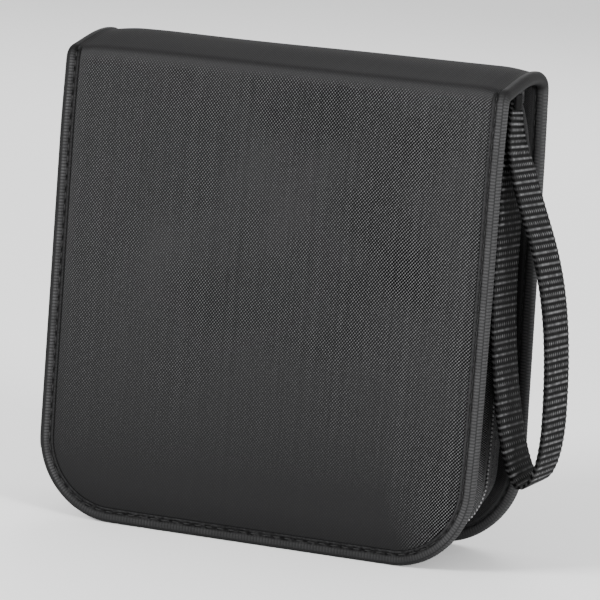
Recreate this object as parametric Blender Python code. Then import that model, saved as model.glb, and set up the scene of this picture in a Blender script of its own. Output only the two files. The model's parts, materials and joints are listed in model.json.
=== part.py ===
"""Zip-round storage case for discs, standing on its mouth edge with the spine on top.

Metres, +Z up. X runs along the spine and -Y is the front cover's outer side. The origin is the middle
of the base of the whole part's box, wrist strap included.
"""

import math

import bmesh
import bpy
from mathutils import Vector

MM = 0.001

# Case. Its width along the spine follows from the pages, below
FOLD_HEIGHT = 157 * MM  # floor to the two folds beside the spine
SPINE_DEPTH = 40.8 * MM  # across the folds, outside
MOUTH_DEPTH = 48 * MM  # across the covers at the floor, outside
SPINE_RISE = 4.6 * MM  # crown of the spine above the folds
CORNER_RADIUS = 27 * MM
GAP = 0.3 * MM  # between pieces that touch
CORNER_STEPS = 9
ARCH_STEPS = 12

# Covers: w is measured through a cover, from 0 at its inner face to EDGE_THICKNESS outside
EDGE_THICKNESS = 4.4 * MM
PAD_CROWN = 0.5 * MM  # padding stands this proud of the binding
PAD_SHOULDER = 9 * MM  # width of the slope from the stitch line up to the full padding
PAD_STEPS = 4
STITCH_VALLEY = 0.6 * MM  # flat cloth between the binding's lip and the slope
LINING_THICKNESS = 0.9 * MM

# Binding tape, folded round each edge
BINDING_WIDTH = 4.8 * MM
BINDING_THICKNESS = 0.8 * MM
BINDING_ROLL = 1.2 * MM  # radius of the fold

# Wall between the covers: gusset strips, then zip tapes, then the chain in the middle
WALL_INSET = 6.8 * MM  # cover's edge to the zip tape's outer face
GUSSET_THICKNESS = 0.9 * MM
TAPE_HALF_WIDTH = 12 * MM
TAPE_THICKNESS = 0.7 * MM
TAPE_SEAM = 3 * MM  # width of tape that lies over the gusset
TAPE_SLIT = 1.2 * MM  # middle of the wall to the tape's edge
WALL_TOP_DROP = 8 * MM  # folds to the top of the wall

# Zip chain
TOOTH_PITCH = 3.1 * MM
TOOTH_WIDTH = 1.15 * MM
TOOTH_TAPER = 0.12 * MM
TOOTH_REACH = 0.9 * MM  # past the middle of the wall, into the other half
CHAIN_ROOT = 0.9 * MM  # middle of the wall to the teeth's root
CHAIN_HALF_WIDTH = 3 * MM
CHAIN_THICKNESS = 1.6 * MM
CHAIN_DROP = 26 * MM  # folds to the last teeth, and so the slider's closed end
STOP_LENGTH = 3 * MM

# Slider and pull
SLIDER_LENGTH = 11 * MM
SLIDER_WIDTH = 9.2 * MM
SLIDER_TAIL_WIDTH = 8.2 * MM
SLIDER_PLATE = 1.0 * MM
SLIDER_CORNER = 2 * MM
SLIDER_LIP = 1.0 * MM
BRIDGE_WIDTH = 1.6 * MM
BRIDGE_THICKNESS = 0.8 * MM
BRIDGE_LENGTH = 6.4 * MM
PULL_THICKNESS = 0.9 * MM
PULL_LENGTH = 24 * MM
PULL_WIDTH = 6.4 * MM
PULL_TIP_WIDTH = 4.6 * MM
PULL_EYE_LENGTH = 4.4 * MM
PULL_ARM = 1.2 * MM
PULL_HOLE_RADIUS = 1.0 * MM
PULL_TIP_MARGIN = 2.6 * MM  # centre of the small hole to the pull's end

# Wrist strap of ribbed webbing
STRAP_WIDTH = 22 * MM
STRAP_THICKNESS = 1.5 * MM
STRAP_END_WIDTH = 6 * MM  # at the sewn ends
STRAP_TUCK = 29 * MM  # length over which the rear edge is tucked in towards the sewn ends
STRAP_RIB_PITCH = 1.9 * MM
STRAP_RIB_DEPTH = 0.25 * MM
LOOP_LOW_HEIGHT = 28.7 * MM  # floor to the loop's lowest point, at mid thickness
LOOP_REACH = 20.3 * MM  # inner leg to the loop's furthest point
LOOP_REACH_HEIGHT = 50 * MM
LOOP_SHARE_LOW = 0.66  # share of the reach at which the loop is lowest
LOOP_LEAVES_HEIGHT = 98.5 * MM  # where the inner leg leaves the zip wall
LOOP_JOINS_DROP = 17.5 * MM  # folds to where the outer leg comes back to the inner one
STRAP_TAB_HEIGHT = 6 * MM
STRAP_TAB_THICKNESS = 0.8 * MM

# Pages
PAGE_COUNT = 20
PAGE_THICKNESS = 0.7 * MM
PAGES_DEPTH = 27 * MM
PAGE_WIDTH = 128 * MM
PAGE_CORNER = 9 * MM
PAGE_CLEARANCE = 7.5 * MM  # pages' lower edge to the zip wall
PAGE_SIDE_CLEARANCE = 4.8 * MM  # pages' sides to the zip wall
PAGE_HEAD = 5 * MM  # sewn block that joins the pages
HANGER_MARGIN = 1 * MM  # hanger past the pages at each side
HANGER_THICKNESS = 1.6 * MM
TAB_HALF_WIDTH = 9 * MM

# Values that follow from the ones above
TAPE_INNER = WALL_INSET + TAPE_THICKNESS
GUSSET_OUTER = TAPE_INNER + GAP
GUSSET_INNER = GUSSET_OUTER + GUSSET_THICKNESS
HALF_WIDTH = PAGE_WIDTH / 2 + PAGE_SIDE_CLEARANCE + GUSSET_INNER
CORNER_X = HALF_WIDTH - CORNER_RADIUS
COVER_TOP = FOLD_HEIGHT - GAP / 2
SPINE_BASE = FOLD_HEIGHT + GAP / 2
HINGE_Y = SPINE_DEPTH / 2 + PAD_CROWN
CHANNEL_FLOOR = BINDING_THICKNESS + GAP  # inset of what lies inside the binding
CHANNEL_TOP = EDGE_THICKNESS - BINDING_THICKNESS - GAP
STITCH_INSET = BINDING_WIDTH + STITCH_VALLEY
CHAIN_INNER = WALL_INSET - GAP
CHAIN_OUTER = CHAIN_INNER - CHAIN_THICKNESS
WALL_TOP = FOLD_HEIGHT - WALL_TOP_DROP
CHAIN_TOP = FOLD_HEIGHT - CHAIN_DROP
STRAP_X = HALF_WIDTH - CHAIN_OUTER + GAP + STRAP_THICKNESS / 2
STRAP_OUTER_X = STRAP_X + STRAP_THICKNESS + GAP
LOOP_OUTER_X = STRAP_X + LOOP_REACH
LOOP_JOINS_HEIGHT = FOLD_HEIGHT - LOOP_JOINS_DROP
CASE_SHIFT = (LOOP_OUTER_X + STRAP_THICKNESS / 2 - HALF_WIDTH) / 2

FRONT = -1
BACK = 1


class Carrier:
    """An empty that carries pieces. Its pivot is kept in the case's own coordinates."""

    def __init__(self, name, pivot, parent=None):
        self.pivot = Vector(pivot)
        self.empty = bpy.data.objects.new(name, None)
        self.empty.empty_display_size = 0.01
        bpy.context.scene.collection.objects.link(self.empty)
        if parent:
            self.empty.parent = parent.empty
            self.empty.location = self.pivot - parent.pivot
        else:
            self.empty.location = self.pivot - Vector((CASE_SHIFT, 0, 0))


def clear_scene():
    for obj in list(bpy.context.scene.objects):
        bpy.data.objects.remove(obj, do_unlink=True)


def make_material(name, color, roughness, metallic=0.0):
    material = bpy.data.materials.new(name)
    material.use_nodes = True
    shader = material.node_tree.nodes["Principled BSDF"]
    shader.inputs["Base Color"].default_value = (*color, 1.0)
    shader.inputs["Roughness"].default_value = roughness
    shader.inputs["Metallic"].default_value = metallic
    return material


def add_piece(name, bm, material, carrier):
    """Makes the object from a mesh drawn in the case's coordinates."""
    bmesh.ops.recalc_face_normals(bm, faces=bm.faces)
    bmesh.ops.translate(bm, verts=bm.verts, vec=-carrier.pivot)
    mesh = bpy.data.meshes.new(name)
    bm.to_mesh(mesh)
    bm.free()
    mesh.materials.append(material)
    mesh.shade_smooth()
    mesh.set_sharp_from_angle(angle=math.radians(35))
    obj = bpy.data.objects.new(name, mesh)
    obj.parent = carrier.empty
    bpy.context.scene.collection.objects.link(obj)
    return obj


def loft(rings):
    """A closed body through rings of equally many points, with a flat face at each end."""
    bm = bmesh.new()
    rows = [[bm.verts.new(point) for point in ring] for ring in rings]
    for row, following in zip(rows, rows[1:]):
        for i in range(len(row)):
            j = (i + 1) % len(row)
            bm.faces.new((row[i], row[j], following[j], following[i]))
    bm.faces.new(rows[0])
    bm.faces.new(rows[-1])
    return bm


def add_box(bm, low, high):
    """Adds one closed box to the mesh."""
    corners = [
        bm.verts.new((x, y, z))
        for z in (low[2], high[2])
        for x, y in ((low[0], low[1]), (high[0], low[1]), (high[0], high[1]), (low[0], high[1]))
    ]
    for i in range(4):
        j = (i + 1) % 4
        bm.faces.new((corners[i], corners[j], corners[j + 4], corners[i + 4]))
    bm.faces.new(corners[:4])
    bm.faces.new(corners[4:])


def half_depth(z):
    """Middle of the case to a cover's outer edge, at height z."""
    share = z / FOLD_HEIGHT
    return (MOUTH_DEPTH * (1 - share) + SPINE_DEPTH * share) / 2


def cover_y(side, w):
    """Depth of the layer w of a cover, as a function of height."""
    return lambda z: side * (half_depth(z) - EDGE_THICKNESS + w)


def wall_y(y):
    return lambda z: y


def u_stations(top):
    """Stations down the left side, round the mouth and up the right side: a point and the way outward."""
    stations = [((-CORNER_X, top), (-1, 0))]
    for side in (-1, 1):
        for step in range(CORNER_STEPS + 1):
            turn = step / CORNER_STEPS if side < 0 else 1 - step / CORNER_STEPS
            angle = turn * math.pi / 2
            stations.append(((side * CORNER_X, CORNER_RADIUS), (side * math.cos(angle), -math.sin(angle))))
    stations.append(((CORNER_X, top), (1, 0)))
    return stations


def u_point(station, inset, depth):
    """The point of a station at an inset from the cover's edge."""
    (x, z), (out_x, out_z) = station
    reach = CORNER_RADIUS - inset
    height = z + out_z * reach
    return (x + out_x * reach, depth(height), height)


def sweep_u(section, top):
    """A closed body: the section's (inset, depth) points carried round the U."""
    return loft([[u_point(station, *point) for point in section] for station in u_stations(top)])


def u_outline(inset, depth, top):
    """A cover's outline at an inset, closed by a straight line along the fold."""
    return [u_point(station, inset, depth) for station in u_stations(top)]


def binding_profile():
    """(inset, w) points of the folded tape, from its outer lip round the edge to its inner one."""
    width, thick, roll, full = BINDING_WIDTH, BINDING_THICKNESS, BINDING_ROLL, EDGE_THICKNESS
    bend = roll * (1 - math.sqrt(0.5))
    return [
        (width, full),
        (roll, full),
        (bend, full - bend),
        (0, full - roll),
        (0, roll),
        (bend, bend),
        (roll, 0),
        (width, 0),
        (width, thick),
        (thick, thick),
        (thick, full - thick),
        (width, full - thick),
    ]


def pad_levels():
    """(inset, w) of the padding's outer face, from under the binding's lip to the full padding."""
    rise = EDGE_THICKNESS + PAD_CROWN - CHANNEL_TOP
    levels = [(CHANNEL_FLOOR, CHANNEL_TOP), (STITCH_INSET, CHANNEL_TOP)]
    for step in range(1, PAD_STEPS + 1):
        share = step / PAD_STEPS
        levels.append((STITCH_INSET + PAD_SHOULDER * share, CHANNEL_TOP + rise * math.sin(share * math.pi / 2)))
    return levels


def add_cover(prefix, side, carrier, cloth, lining, tape):
    pad_floor = CHANNEL_FLOOR + LINING_THICKNESS + GAP
    pad = [u_outline(CHANNEL_FLOOR, cover_y(side, pad_floor), COVER_TOP)]
    pad += [u_outline(inset, cover_y(side, w), COVER_TOP) for inset, w in pad_levels()]
    add_piece(prefix + "_cover", loft(pad), cloth, carrier)

    board = (
        (CHANNEL_FLOOR, CHANNEL_FLOOR + LINING_THICKNESS),
        (CHANNEL_FLOOR, CHANNEL_FLOOR),
        (STITCH_INSET, CHANNEL_FLOOR),
        (STITCH_INSET + CHANNEL_FLOOR, 0),
    )
    sheet = [u_outline(inset, cover_y(side, w), COVER_TOP) for inset, w in board]
    add_piece(prefix + "_lining", loft(sheet), lining, carrier)

    section = [(inset, cover_y(side, w)) for inset, w in binding_profile()]
    add_piece(prefix + "_binding", sweep_u(section, COVER_TOP), tape, carrier)


def add_wall_half(prefix, side, carrier, cloth, tape):
    """The gusset strip and the zip tape that one cover carries."""
    seam_y = wall_y(side * (TAPE_HALF_WIDTH - TAPE_SEAM))
    seat_y = cover_y(side, -GAP)
    gusset = [
        (GUSSET_OUTER, seat_y),
        (GUSSET_OUTER, seam_y),
        (GUSSET_INNER, seam_y),
        (GUSSET_INNER, seat_y),
    ]
    add_piece(prefix + "_gusset", sweep_u(gusset, WALL_TOP), cloth, carrier)

    outer_y = wall_y(side * TAPE_HALF_WIDTH)
    slit_y = wall_y(side * TAPE_SLIT)
    strip = [(WALL_INSET, outer_y), (WALL_INSET, slit_y), (TAPE_INNER, slit_y), (TAPE_INNER, outer_y)]
    add_piece(prefix + "_zip_tape", sweep_u(strip, WALL_TOP), tape, carrier)


def chain_length():
    """Length of the chain's path at its mid thickness, from one top end to the other."""
    radius = CORNER_RADIUS - (CHAIN_INNER + CHAIN_OUTER) / 2
    return 2 * (CHAIN_TOP - CORNER_RADIUS) + math.pi * radius + 2 * CORNER_X


def chain_station(distance):
    """The station at a distance along the chain's path, from its left top end."""
    radius = CORNER_RADIUS - (CHAIN_INNER + CHAIN_OUTER) / 2
    leg = CHAIN_TOP - CORNER_RADIUS
    arc = radius * math.pi / 2
    if distance <= leg:
        return (-CORNER_X, CHAIN_TOP - distance), (-1, 0)
    distance -= leg
    if distance <= arc:
        angle = distance / radius
        return (-CORNER_X, CORNER_RADIUS), (-math.cos(angle), -math.sin(angle))
    distance -= arc
    if distance <= 2 * CORNER_X:
        return (distance - CORNER_X, CORNER_RADIUS), (0, -1)
    distance -= 2 * CORNER_X
    if distance <= arc:
        angle = distance / radius
        return (CORNER_X, CORNER_RADIUS), (math.sin(angle), -math.cos(angle))
    return (CORNER_X, CORNER_RADIUS + distance - arc), (1, 0)


def flat_comb(side, length, first, count):
    """A comb in one plane, as x along the chain and y across it: a root strip and its teeth."""
    bm = bmesh.new()
    back_y = side * CHAIN_HALF_WIDTH
    root_y = side * CHAIN_ROOT
    tip_y = -side * TOOTH_REACH

    def point(x, y):
        return bm.verts.new((x, y, 0))

    last_back = point(0, back_y)
    last_root = [point(0, root_y)]
    for i in range(count):
        start = first + i * TOOTH_PITCH
        end = start + TOOTH_WIDTH
        back, root, far_root = point(start, back_y), point(start, root_y), point(end, root_y)
        tip, far_tip = point(start + TOOTH_TAPER, tip_y), point(end - TOOTH_TAPER, tip_y)
        bm.faces.new([last_back, back, root, *last_root])
        bm.faces.new([root, far_root, far_tip, tip])
        last_back = back
        last_root = [far_root, root]
    bm.faces.new([last_back, point(length, back_y), point(length, root_y), *last_root])
    return bm


def add_chain_half(prefix, side, carrier, material):
    """The comb, given its thickness and bent round the U. The back half's teeth lie between the front's."""
    length = chain_length()
    first = TOOTH_PITCH / 4 if side == FRONT else TOOTH_PITCH * 3 / 4
    count = int((length - first - TOOTH_WIDTH - TOOTH_PITCH / 4) / TOOTH_PITCH) + 1
    bm = flat_comb(side, length, first, count)
    grown = bmesh.ops.extrude_face_region(bm, geom=bm.faces[:])
    for vert in [item for item in grown["geom"] if isinstance(item, bmesh.types.BMVert)]:
        vert.co.z = CHAIN_THICKNESS
    for vert in bm.verts:
        station = chain_station(vert.co.x)
        vert.co = u_point(station, CHAIN_INNER - vert.co.z, wall_y(vert.co.y))
    add_piece(prefix + "_zip_chain", bm, material, carrier)


def add_stops(front, back, metal):
    """Two top stops at the closed end on the left, and the bottom stop across both halves on the right."""
    low = CHAIN_TOP + GAP
    for prefix, side, carrier in (("front", FRONT, front), ("back", BACK, back)):
        ys = sorted((side * TAPE_SLIT / 2, side * CHAIN_HALF_WIDTH))
        bm = bmesh.new()
        add_box(
            bm,
            (-HALF_WIDTH + CHAIN_OUTER, ys[0], low),
            (-HALF_WIDTH + CHAIN_INNER, ys[1], low + STOP_LENGTH),
        )
        add_piece(prefix + "_top_stop", bm, metal, carrier)
    bm = bmesh.new()
    add_box(
        bm,
        (HALF_WIDTH - CHAIN_INNER, -CHAIN_HALF_WIDTH, low),
        (HALF_WIDTH - CHAIN_OUTER, CHAIN_HALF_WIDTH, low + STOP_LENGTH),
    )
    add_piece("zip_bottom_stop", bm, metal, back)


def spine_point(x, t, w):
    """Point of the spine's layer w. t runs from -1 at the front fold to 1 at the back one."""
    across = SPINE_DEPTH / 2 - EDGE_THICKNESS + w
    rise = SPINE_RISE - EDGE_THICKNESS + w
    return (x, t * across, SPINE_BASE + rise * (1 - t * t))


def under_spine(y):
    """Height of what hangs under the spine at depth y, a gap below its lining."""
    across = SPINE_DEPTH / 2 - EDGE_THICKNESS
    rise = SPINE_RISE - EDGE_THICKNESS
    return SPINE_BASE + rise * (1 - (y / across) ** 2) - GAP


def arch_steps():
    return [2 * step / ARCH_STEPS - 1 for step in range(ARCH_STEPS + 1)]


def spine_section(x, inner, outer):
    ring = [spine_point(x, t, outer) for t in arch_steps()]
    ring += [spine_point(x, t, inner) for t in reversed(arch_steps())]
    return ring


def add_spine(carrier, cloth, lining, tape):
    floor = CHANNEL_FLOOR + GAP / 2
    ends = [(HALF_WIDTH - inset, w) for inset, w in pad_levels()]
    sections = [spine_section(-x, floor, w) for x, w in ends]
    sections += [spine_section(x, floor, w) for x, w in reversed(ends)]
    add_piece("spine_panel", loft(sections), cloth, carrier)

    reach = HALF_WIDTH - BINDING_WIDTH - GAP
    sheet = [spine_section(x, 0, BINDING_THICKNESS) for x in (-reach, reach)]
    add_piece("spine_lining", loft(sheet), lining, carrier)

    for name, side in (("left", -1), ("right", 1)):
        rings = [
            [spine_point(side * (HALF_WIDTH - inset), t, w) for inset, w in binding_profile()]
            for t in arch_steps()
        ]
        add_piece("spine_binding_" + name, loft(rings), tape, carrier)


def hanging_section(half, low):
    """(y, z) points of a block under the spine's arch, flat below."""
    steps = [2 * step / 6 - 1 for step in range(7)]
    return [(half * t, under_spine(half * t)) for t in steps] + [(half, low), (-half, low)]


def add_zip_tabs(carrier, cloth):
    """Folded tabs that close the zip's ends under the spine."""
    section = hanging_section(TAB_HALF_WIDTH, WALL_TOP + GAP)
    for name, side in (("left", -1), ("right", 1)):
        xs = [side * (HALF_WIDTH - inset) for inset in (WALL_INSET, GUSSET_INNER)]
        add_piece("zip_tab_" + name, loft([[(x, y, z) for y, z in section] for x in xs]), cloth, carrier)


def add_pages(carrier, lining, film):
    """The strip sewn along the spine, and the sleeves that hang from it as the leaves of one comb."""
    half = PAGES_DEPTH / 2
    head_top = under_spine(half) - HANGER_THICKNESS - GAP
    section = hanging_section(half, head_top + GAP)
    reach = PAGE_WIDTH / 2 + HANGER_MARGIN
    ends = (-reach, reach)
    add_piece("page_hanger", loft([[(x, y, z) for y, z in section] for x in ends]), lining, carrier)

    low = GUSSET_INNER + PAGE_CLEARANCE
    side = PAGE_WIDTH / 2
    outline = [(-side, head_top)]
    for direction in (-1, 1):
        for step in range(4):
            turn = step / 3 if direction < 0 else 1 - step / 3
            angle = turn * math.pi / 2
            outline.append(
                (
                    direction * (side - PAGE_CORNER * (1 - math.cos(angle))),
                    low + PAGE_CORNER * (1 - math.sin(angle)),
                )
            )
    outline.append((side, head_top))
    pages = add_piece(
        "sleeve_pages", loft([[(x, y, z) for x, z in outline] for y in (-half, half)]), film, carrier
    )

    pitch = (PAGES_DEPTH - PAGE_THICKNESS) / (PAGE_COUNT - 1)
    cutter = bmesh.new()
    for i in range(PAGE_COUNT - 1):
        start = -half + i * pitch + PAGE_THICKNESS
        add_box(
            cutter,
            (-PAGE_WIDTH, start, low - PAGE_CORNER),
            (PAGE_WIDTH, start + pitch - PAGE_THICKNESS, head_top - PAGE_HEAD),
        )
    slots = add_piece("page_slots", cutter, film, carrier)
    slots.hide_render = True
    slots.display_type = "WIRE"
    cut = pages.modifiers.new("slots", "BOOLEAN")
    cut.operation = "DIFFERENCE"
    cut.solver = "EXACT"
    cut.object = slots


def bezier(p0, p1, p2, p3, steps):
    """Points of one cubic stretch, without its last."""
    points = []
    for step in range(steps):
        t = step / steps
        weights = ((1 - t) ** 3, 3 * t * (1 - t) ** 2, 3 * t * t * (1 - t), t**3)
        points.append(
            tuple(sum(w * p[axis] for w, p in zip(weights, (p0, p1, p2, p3))) for axis in (0, 1))
        )
    return points


def strap_route():
    """(x, z) of the webbing's middle: down beside the zip, round the loop and back up."""
    top = under_spine(STRAP_WIDTH / 2)
    start = (STRAP_X, top)
    leaves = (STRAP_X, LOOP_LEAVES_HEIGHT)
    lowest = (STRAP_X + LOOP_REACH * LOOP_SHARE_LOW, LOOP_LOW_HEIGHT)
    furthest = (LOOP_OUTER_X, LOOP_REACH_HEIGHT)
    joins = (STRAP_OUTER_X, LOOP_JOINS_HEIGHT)
    fall = (LOOP_LEAVES_HEIGHT - LOOP_LOW_HEIGHT) * 0.52
    climb = LOOP_JOINS_HEIGHT - LOOP_REACH_HEIGHT
    bowl = LOOP_REACH_HEIGHT - LOOP_LOW_HEIGHT
    points = [start]
    points += bezier(
        leaves,
        (leaves[0], leaves[1] - fall),
        (lowest[0] - LOOP_REACH * 0.25, lowest[1]),
        lowest,
        20,
    )
    points += bezier(
        lowest,
        (lowest[0] + LOOP_REACH * 0.25, lowest[1]),
        (furthest[0], furthest[1] - bowl * 0.45),
        furthest,
        12,
    )
    points += bezier(
        furthest,
        (furthest[0], furthest[1] + climb * 0.65),
        (joins[0] + LOOP_REACH * 0.2, joins[1] - climb * 0.32),
        joins,
        20,
    )
    points += [joins, (STRAP_OUTER_X, top)]
    return points


def evenly_spaced(points, pitch):
    """Points along the polyline at even steps close to the pitch, both ends kept."""
    lengths = [math.dist(a, b) for a, b in zip(points, points[1:])]
    total = sum(lengths)
    count = max(2, round(total / pitch))
    spaced = []
    segment, walked = 0, 0.0
    for i in range(count + 1):
        target = total * i / count
        while segment < len(lengths) - 1 and walked + lengths[segment] < target:
            walked += lengths[segment]
            segment += 1
        share = min(1.0, (target - walked) / lengths[segment])
        a, b = points[segment], points[segment + 1]
        spaced.append((a[0] + (b[0] - a[0]) * share, a[1] + (b[1] - a[1]) * share))
    return spaced


def strap_rear(z):
    """Depth of the webbing's rear edge at height z. Its front edge runs straight."""
    tucked = max(0.0, 1 - (FOLD_HEIGHT - z) / STRAP_TUCK)
    return STRAP_WIDTH / 2 - (STRAP_WIDTH - STRAP_END_WIDTH) * tucked


def add_strap(carrier, webbing, thread):
    """Webbing as a ribbon whose faces dip between its cross ribs, and the tab that holds its ends."""
    route = evenly_spaced(strap_route(), STRAP_RIB_PITCH / 2)
    front_y = -STRAP_WIDTH / 2
    rings = []
    for i, (x, z) in enumerate(route):
        before, after = route[max(i - 1, 0)], route[min(i + 1, len(route) - 1)]
        along = Vector((after[0] - before[0], after[1] - before[1])).normalized()
        half = STRAP_THICKNESS / 2 - (STRAP_RIB_DEPTH if i % 2 else 0)
        out_x, out_z = -along[1] * half, along[0] * half
        rear_y = strap_rear(z)
        rings.append(
            [
                (x + s * out_x, y, z + s * out_z)
                for s, y in ((-1, front_y), (-1, rear_y), (1, rear_y), (1, front_y))
            ]
        )
    add_piece("wrist_strap", loft(rings), webbing, carrier)

    face = STRAP_OUTER_X + STRAP_THICKNESS / 2 + GAP
    top = under_spine(STRAP_WIDTH / 2)
    bm = bmesh.new()
    add_box(
        bm,
        (face, front_y, top - STRAP_TAB_HEIGHT),
        (face + STRAP_TAB_THICKNESS, front_y + STRAP_END_WIDTH, top),
    )
    add_piece("strap_tab", bm, thread, carrier)


def slider_plan(grow=0.0):
    """(y, z) outline of a slider wing about its middle, wide at its leading end."""
    wide, narrow = SLIDER_WIDTH / 2 + grow, SLIDER_TAIL_WIDTH / 2 + grow
    top, cut = SLIDER_LENGTH / 2, SLIDER_CORNER
    return [
        (-narrow, -top + cut / 2),
        (-narrow + cut / 2, -top),
        (narrow - cut / 2, -top),
        (narrow, -top + cut / 2),
        (narrow, 0),
        (wide, cut / 2),
        (wide, top - cut),
        (wide - cut, top),
        (-wide + cut, top),
        (-wide, top - cut),
        (-wide, cut / 2),
        (-narrow, 0),
    ]


def join_to(base, name, bm, material, carrier, operation="UNION"):
    """Joins a helper shape to a piece, or cuts it out of it."""
    helper = add_piece(name, bm, material, carrier)
    helper.hide_render = True
    helper.display_type = "WIRE"
    change = base.modifiers.new(name, "BOOLEAN")
    change.operation = operation
    change.solver = "EXACT"
    change.object = helper


def add_slider(carrier, metal):
    """Outer wing with its lips and bridge, and inner wing behind the tapes."""
    middle = carrier.pivot.z
    face = -HALF_WIDTH + CHAIN_OUTER - GAP  # x of the outer wing's inner side
    outside = face - SLIDER_PLATE

    def wing(x_in, x_out):
        return loft([[(x, y, middle + z) for y, z in slider_plan()] for x in (x_in, x_out)])

    outer = add_piece("zip_slider", wing(face, outside), metal, carrier)
    overlap = SLIDER_PLATE / 2
    for name, side in (("slider_lip_front", FRONT), ("slider_lip_back", BACK)):
        ys = sorted((side * SLIDER_TAIL_WIDTH / 2, side * (SLIDER_TAIL_WIDTH / 2 - SLIDER_LIP)))
        bm = bmesh.new()
        length = SLIDER_LENGTH - SLIDER_CORNER * 2
        add_box(
            bm,
            (face - overlap, ys[0], middle - length / 2),
            (-HALF_WIDTH + WALL_INSET - GAP, ys[1], middle + length / 2),
        )
        join_to(outer, name, bm, metal, carrier)

    clear = PULL_THICKNESS + 2 * GAP
    bm = bmesh.new()
    profile = [
        (outside + overlap, BRIDGE_LENGTH / 2),
        (outside - clear, BRIDGE_LENGTH / 2),
        (outside - clear - BRIDGE_THICKNESS, BRIDGE_LENGTH / 2 - BRIDGE_THICKNESS),
        (outside - clear - BRIDGE_THICKNESS, -BRIDGE_LENGTH / 2 + BRIDGE_THICKNESS),
        (outside - clear, -BRIDGE_LENGTH / 2),
        (outside + overlap, -BRIDGE_LENGTH / 2),
        (outside + overlap, -BRIDGE_LENGTH / 2 + BRIDGE_THICKNESS),
        (outside - clear, -BRIDGE_LENGTH / 2 + BRIDGE_THICKNESS),
        (outside - clear, BRIDGE_LENGTH / 2 - BRIDGE_THICKNESS),
        (outside + overlap, BRIDGE_LENGTH / 2 - BRIDGE_THICKNESS),
    ]
    rings = [[(x, y, middle + z) for x, z in profile] for y in (-BRIDGE_WIDTH / 2, BRIDGE_WIDTH / 2)]
    join_to(outer, "slider_bridge", loft(rings), metal, carrier)

    behind = -HALF_WIDTH + TAPE_INNER + GAP
    add_piece("zip_slider_inner_wing", wing(behind, behind + SLIDER_PLATE), metal, carrier)


def add_pull(carrier, metal):
    """Flat tab with an eye whose upper bar turns under the slider's bridge."""
    pivot = carrier.pivot
    half = PULL_THICKNESS / 2
    neck, tip = PULL_WIDTH / 2, PULL_TIP_WIDTH / 2
    low = -PULL_LENGTH
    outline = [(-neck, half)]
    outline += [(-neck, -PULL_EYE_LENGTH - PULL_ARM), (-tip, low + tip)]
    outline += [(-tip * math.cos(a), low + tip - tip * math.sin(a)) for a in (math.pi / 4,)]
    outline += [(0, low)]
    outline += [(tip * math.cos(a), low + tip - tip * math.sin(a)) for a in (math.pi / 4,)]
    outline += [(tip, low + tip), (neck, -PULL_EYE_LENGTH - PULL_ARM), (neck, half)]
    rings = [
        [(pivot.x + x, y, pivot.z + z) for y, z in outline] for x in (-half, half)
    ]
    pull = add_piece("zip_pull", loft(rings), metal, carrier)

    bm = bmesh.new()
    add_box(
        bm,
        (pivot.x - PULL_THICKNESS, -neck + PULL_ARM, pivot.z - half - PULL_EYE_LENGTH),
        (pivot.x + PULL_THICKNESS, neck - PULL_ARM, pivot.z - half),
    )
    join_to(pull, "pull_eye", bm, metal, carrier, "DIFFERENCE")

    ring = [
        (PULL_HOLE_RADIUS * math.cos(i * math.pi / 6), PULL_HOLE_RADIUS * math.sin(i * math.pi / 6))
        for i in range(12)
    ]
    height = pivot.z + low + PULL_TIP_MARGIN
    hole = [
        [(pivot.x + x, y, height + z) for y, z in ring] for x in (-PULL_THICKNESS, PULL_THICKNESS)
    ]
    join_to(pull, "pull_hole", loft(hole), metal, carrier, "DIFFERENCE")


def build():
    clear_scene()
    cloth = make_material("black_nylon", (0.035, 0.035, 0.036), 0.6)
    lining = make_material("black_lining", (0.025, 0.025, 0.026), 0.7)
    tape = make_material("black_binding", (0.05, 0.05, 0.051), 0.65)
    zip_tape = make_material("black_zip_tape", (0.03, 0.03, 0.031), 0.75)
    webbing = make_material("black_webbing", (0.04, 0.04, 0.041), 0.6)
    nylon = make_material("black_zip_chain", (0.03, 0.03, 0.03), 0.35)
    metal = make_material("black_slider_metal", (0.08, 0.08, 0.085), 0.35, 0.9)
    film = make_material("sleeve_film", (0.6, 0.61, 0.62), 0.3)

    spine = Carrier("spine", (0, 0, 0))
    front = Carrier("front_fold", (0, -HINGE_Y, FOLD_HEIGHT), spine)
    back = Carrier("back_fold", (0, HINGE_Y, FOLD_HEIGHT), spine)
    slider_z = CHAIN_TOP - SLIDER_LENGTH / 2
    slider_x = -HALF_WIDTH + CHAIN_OUTER - GAP - SLIDER_PLATE
    slider = Carrier("slider", (slider_x, 0, slider_z), back)
    pull_z = slider_z + BRIDGE_LENGTH / 2 - BRIDGE_THICKNESS - GAP - PULL_THICKNESS / 2
    pull = Carrier("pull", (slider_x - GAP - PULL_THICKNESS / 2, 0, pull_z), slider)

    add_spine(spine, cloth, lining, tape)
    add_zip_tabs(spine, cloth)
    add_pages(spine, lining, film)
    add_strap(spine, webbing, webbing)
    for prefix, side, carrier in (("front", FRONT, front), ("back", BACK, back)):
        add_cover(prefix, side, carrier, cloth, lining, tape)
        add_wall_half(prefix, side, carrier, cloth, zip_tape)
        add_chain_half(prefix, side, carrier, nylon)
    add_stops(front, back, metal)
    add_slider(slider, metal)
    add_pull(pull, metal)


build()
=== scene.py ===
"""Looks of the zip-round disc case: woven covers, ribbed tapes, zip, webbing strap and sleeve pages.

Metres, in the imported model's frame. Most fabric is first laid out flat, as (x, s, w): x along the spine,
s up a cover from the mouth and over the fold to the crown of the spine, and w outward through the cloth.
"""

import math

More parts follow.
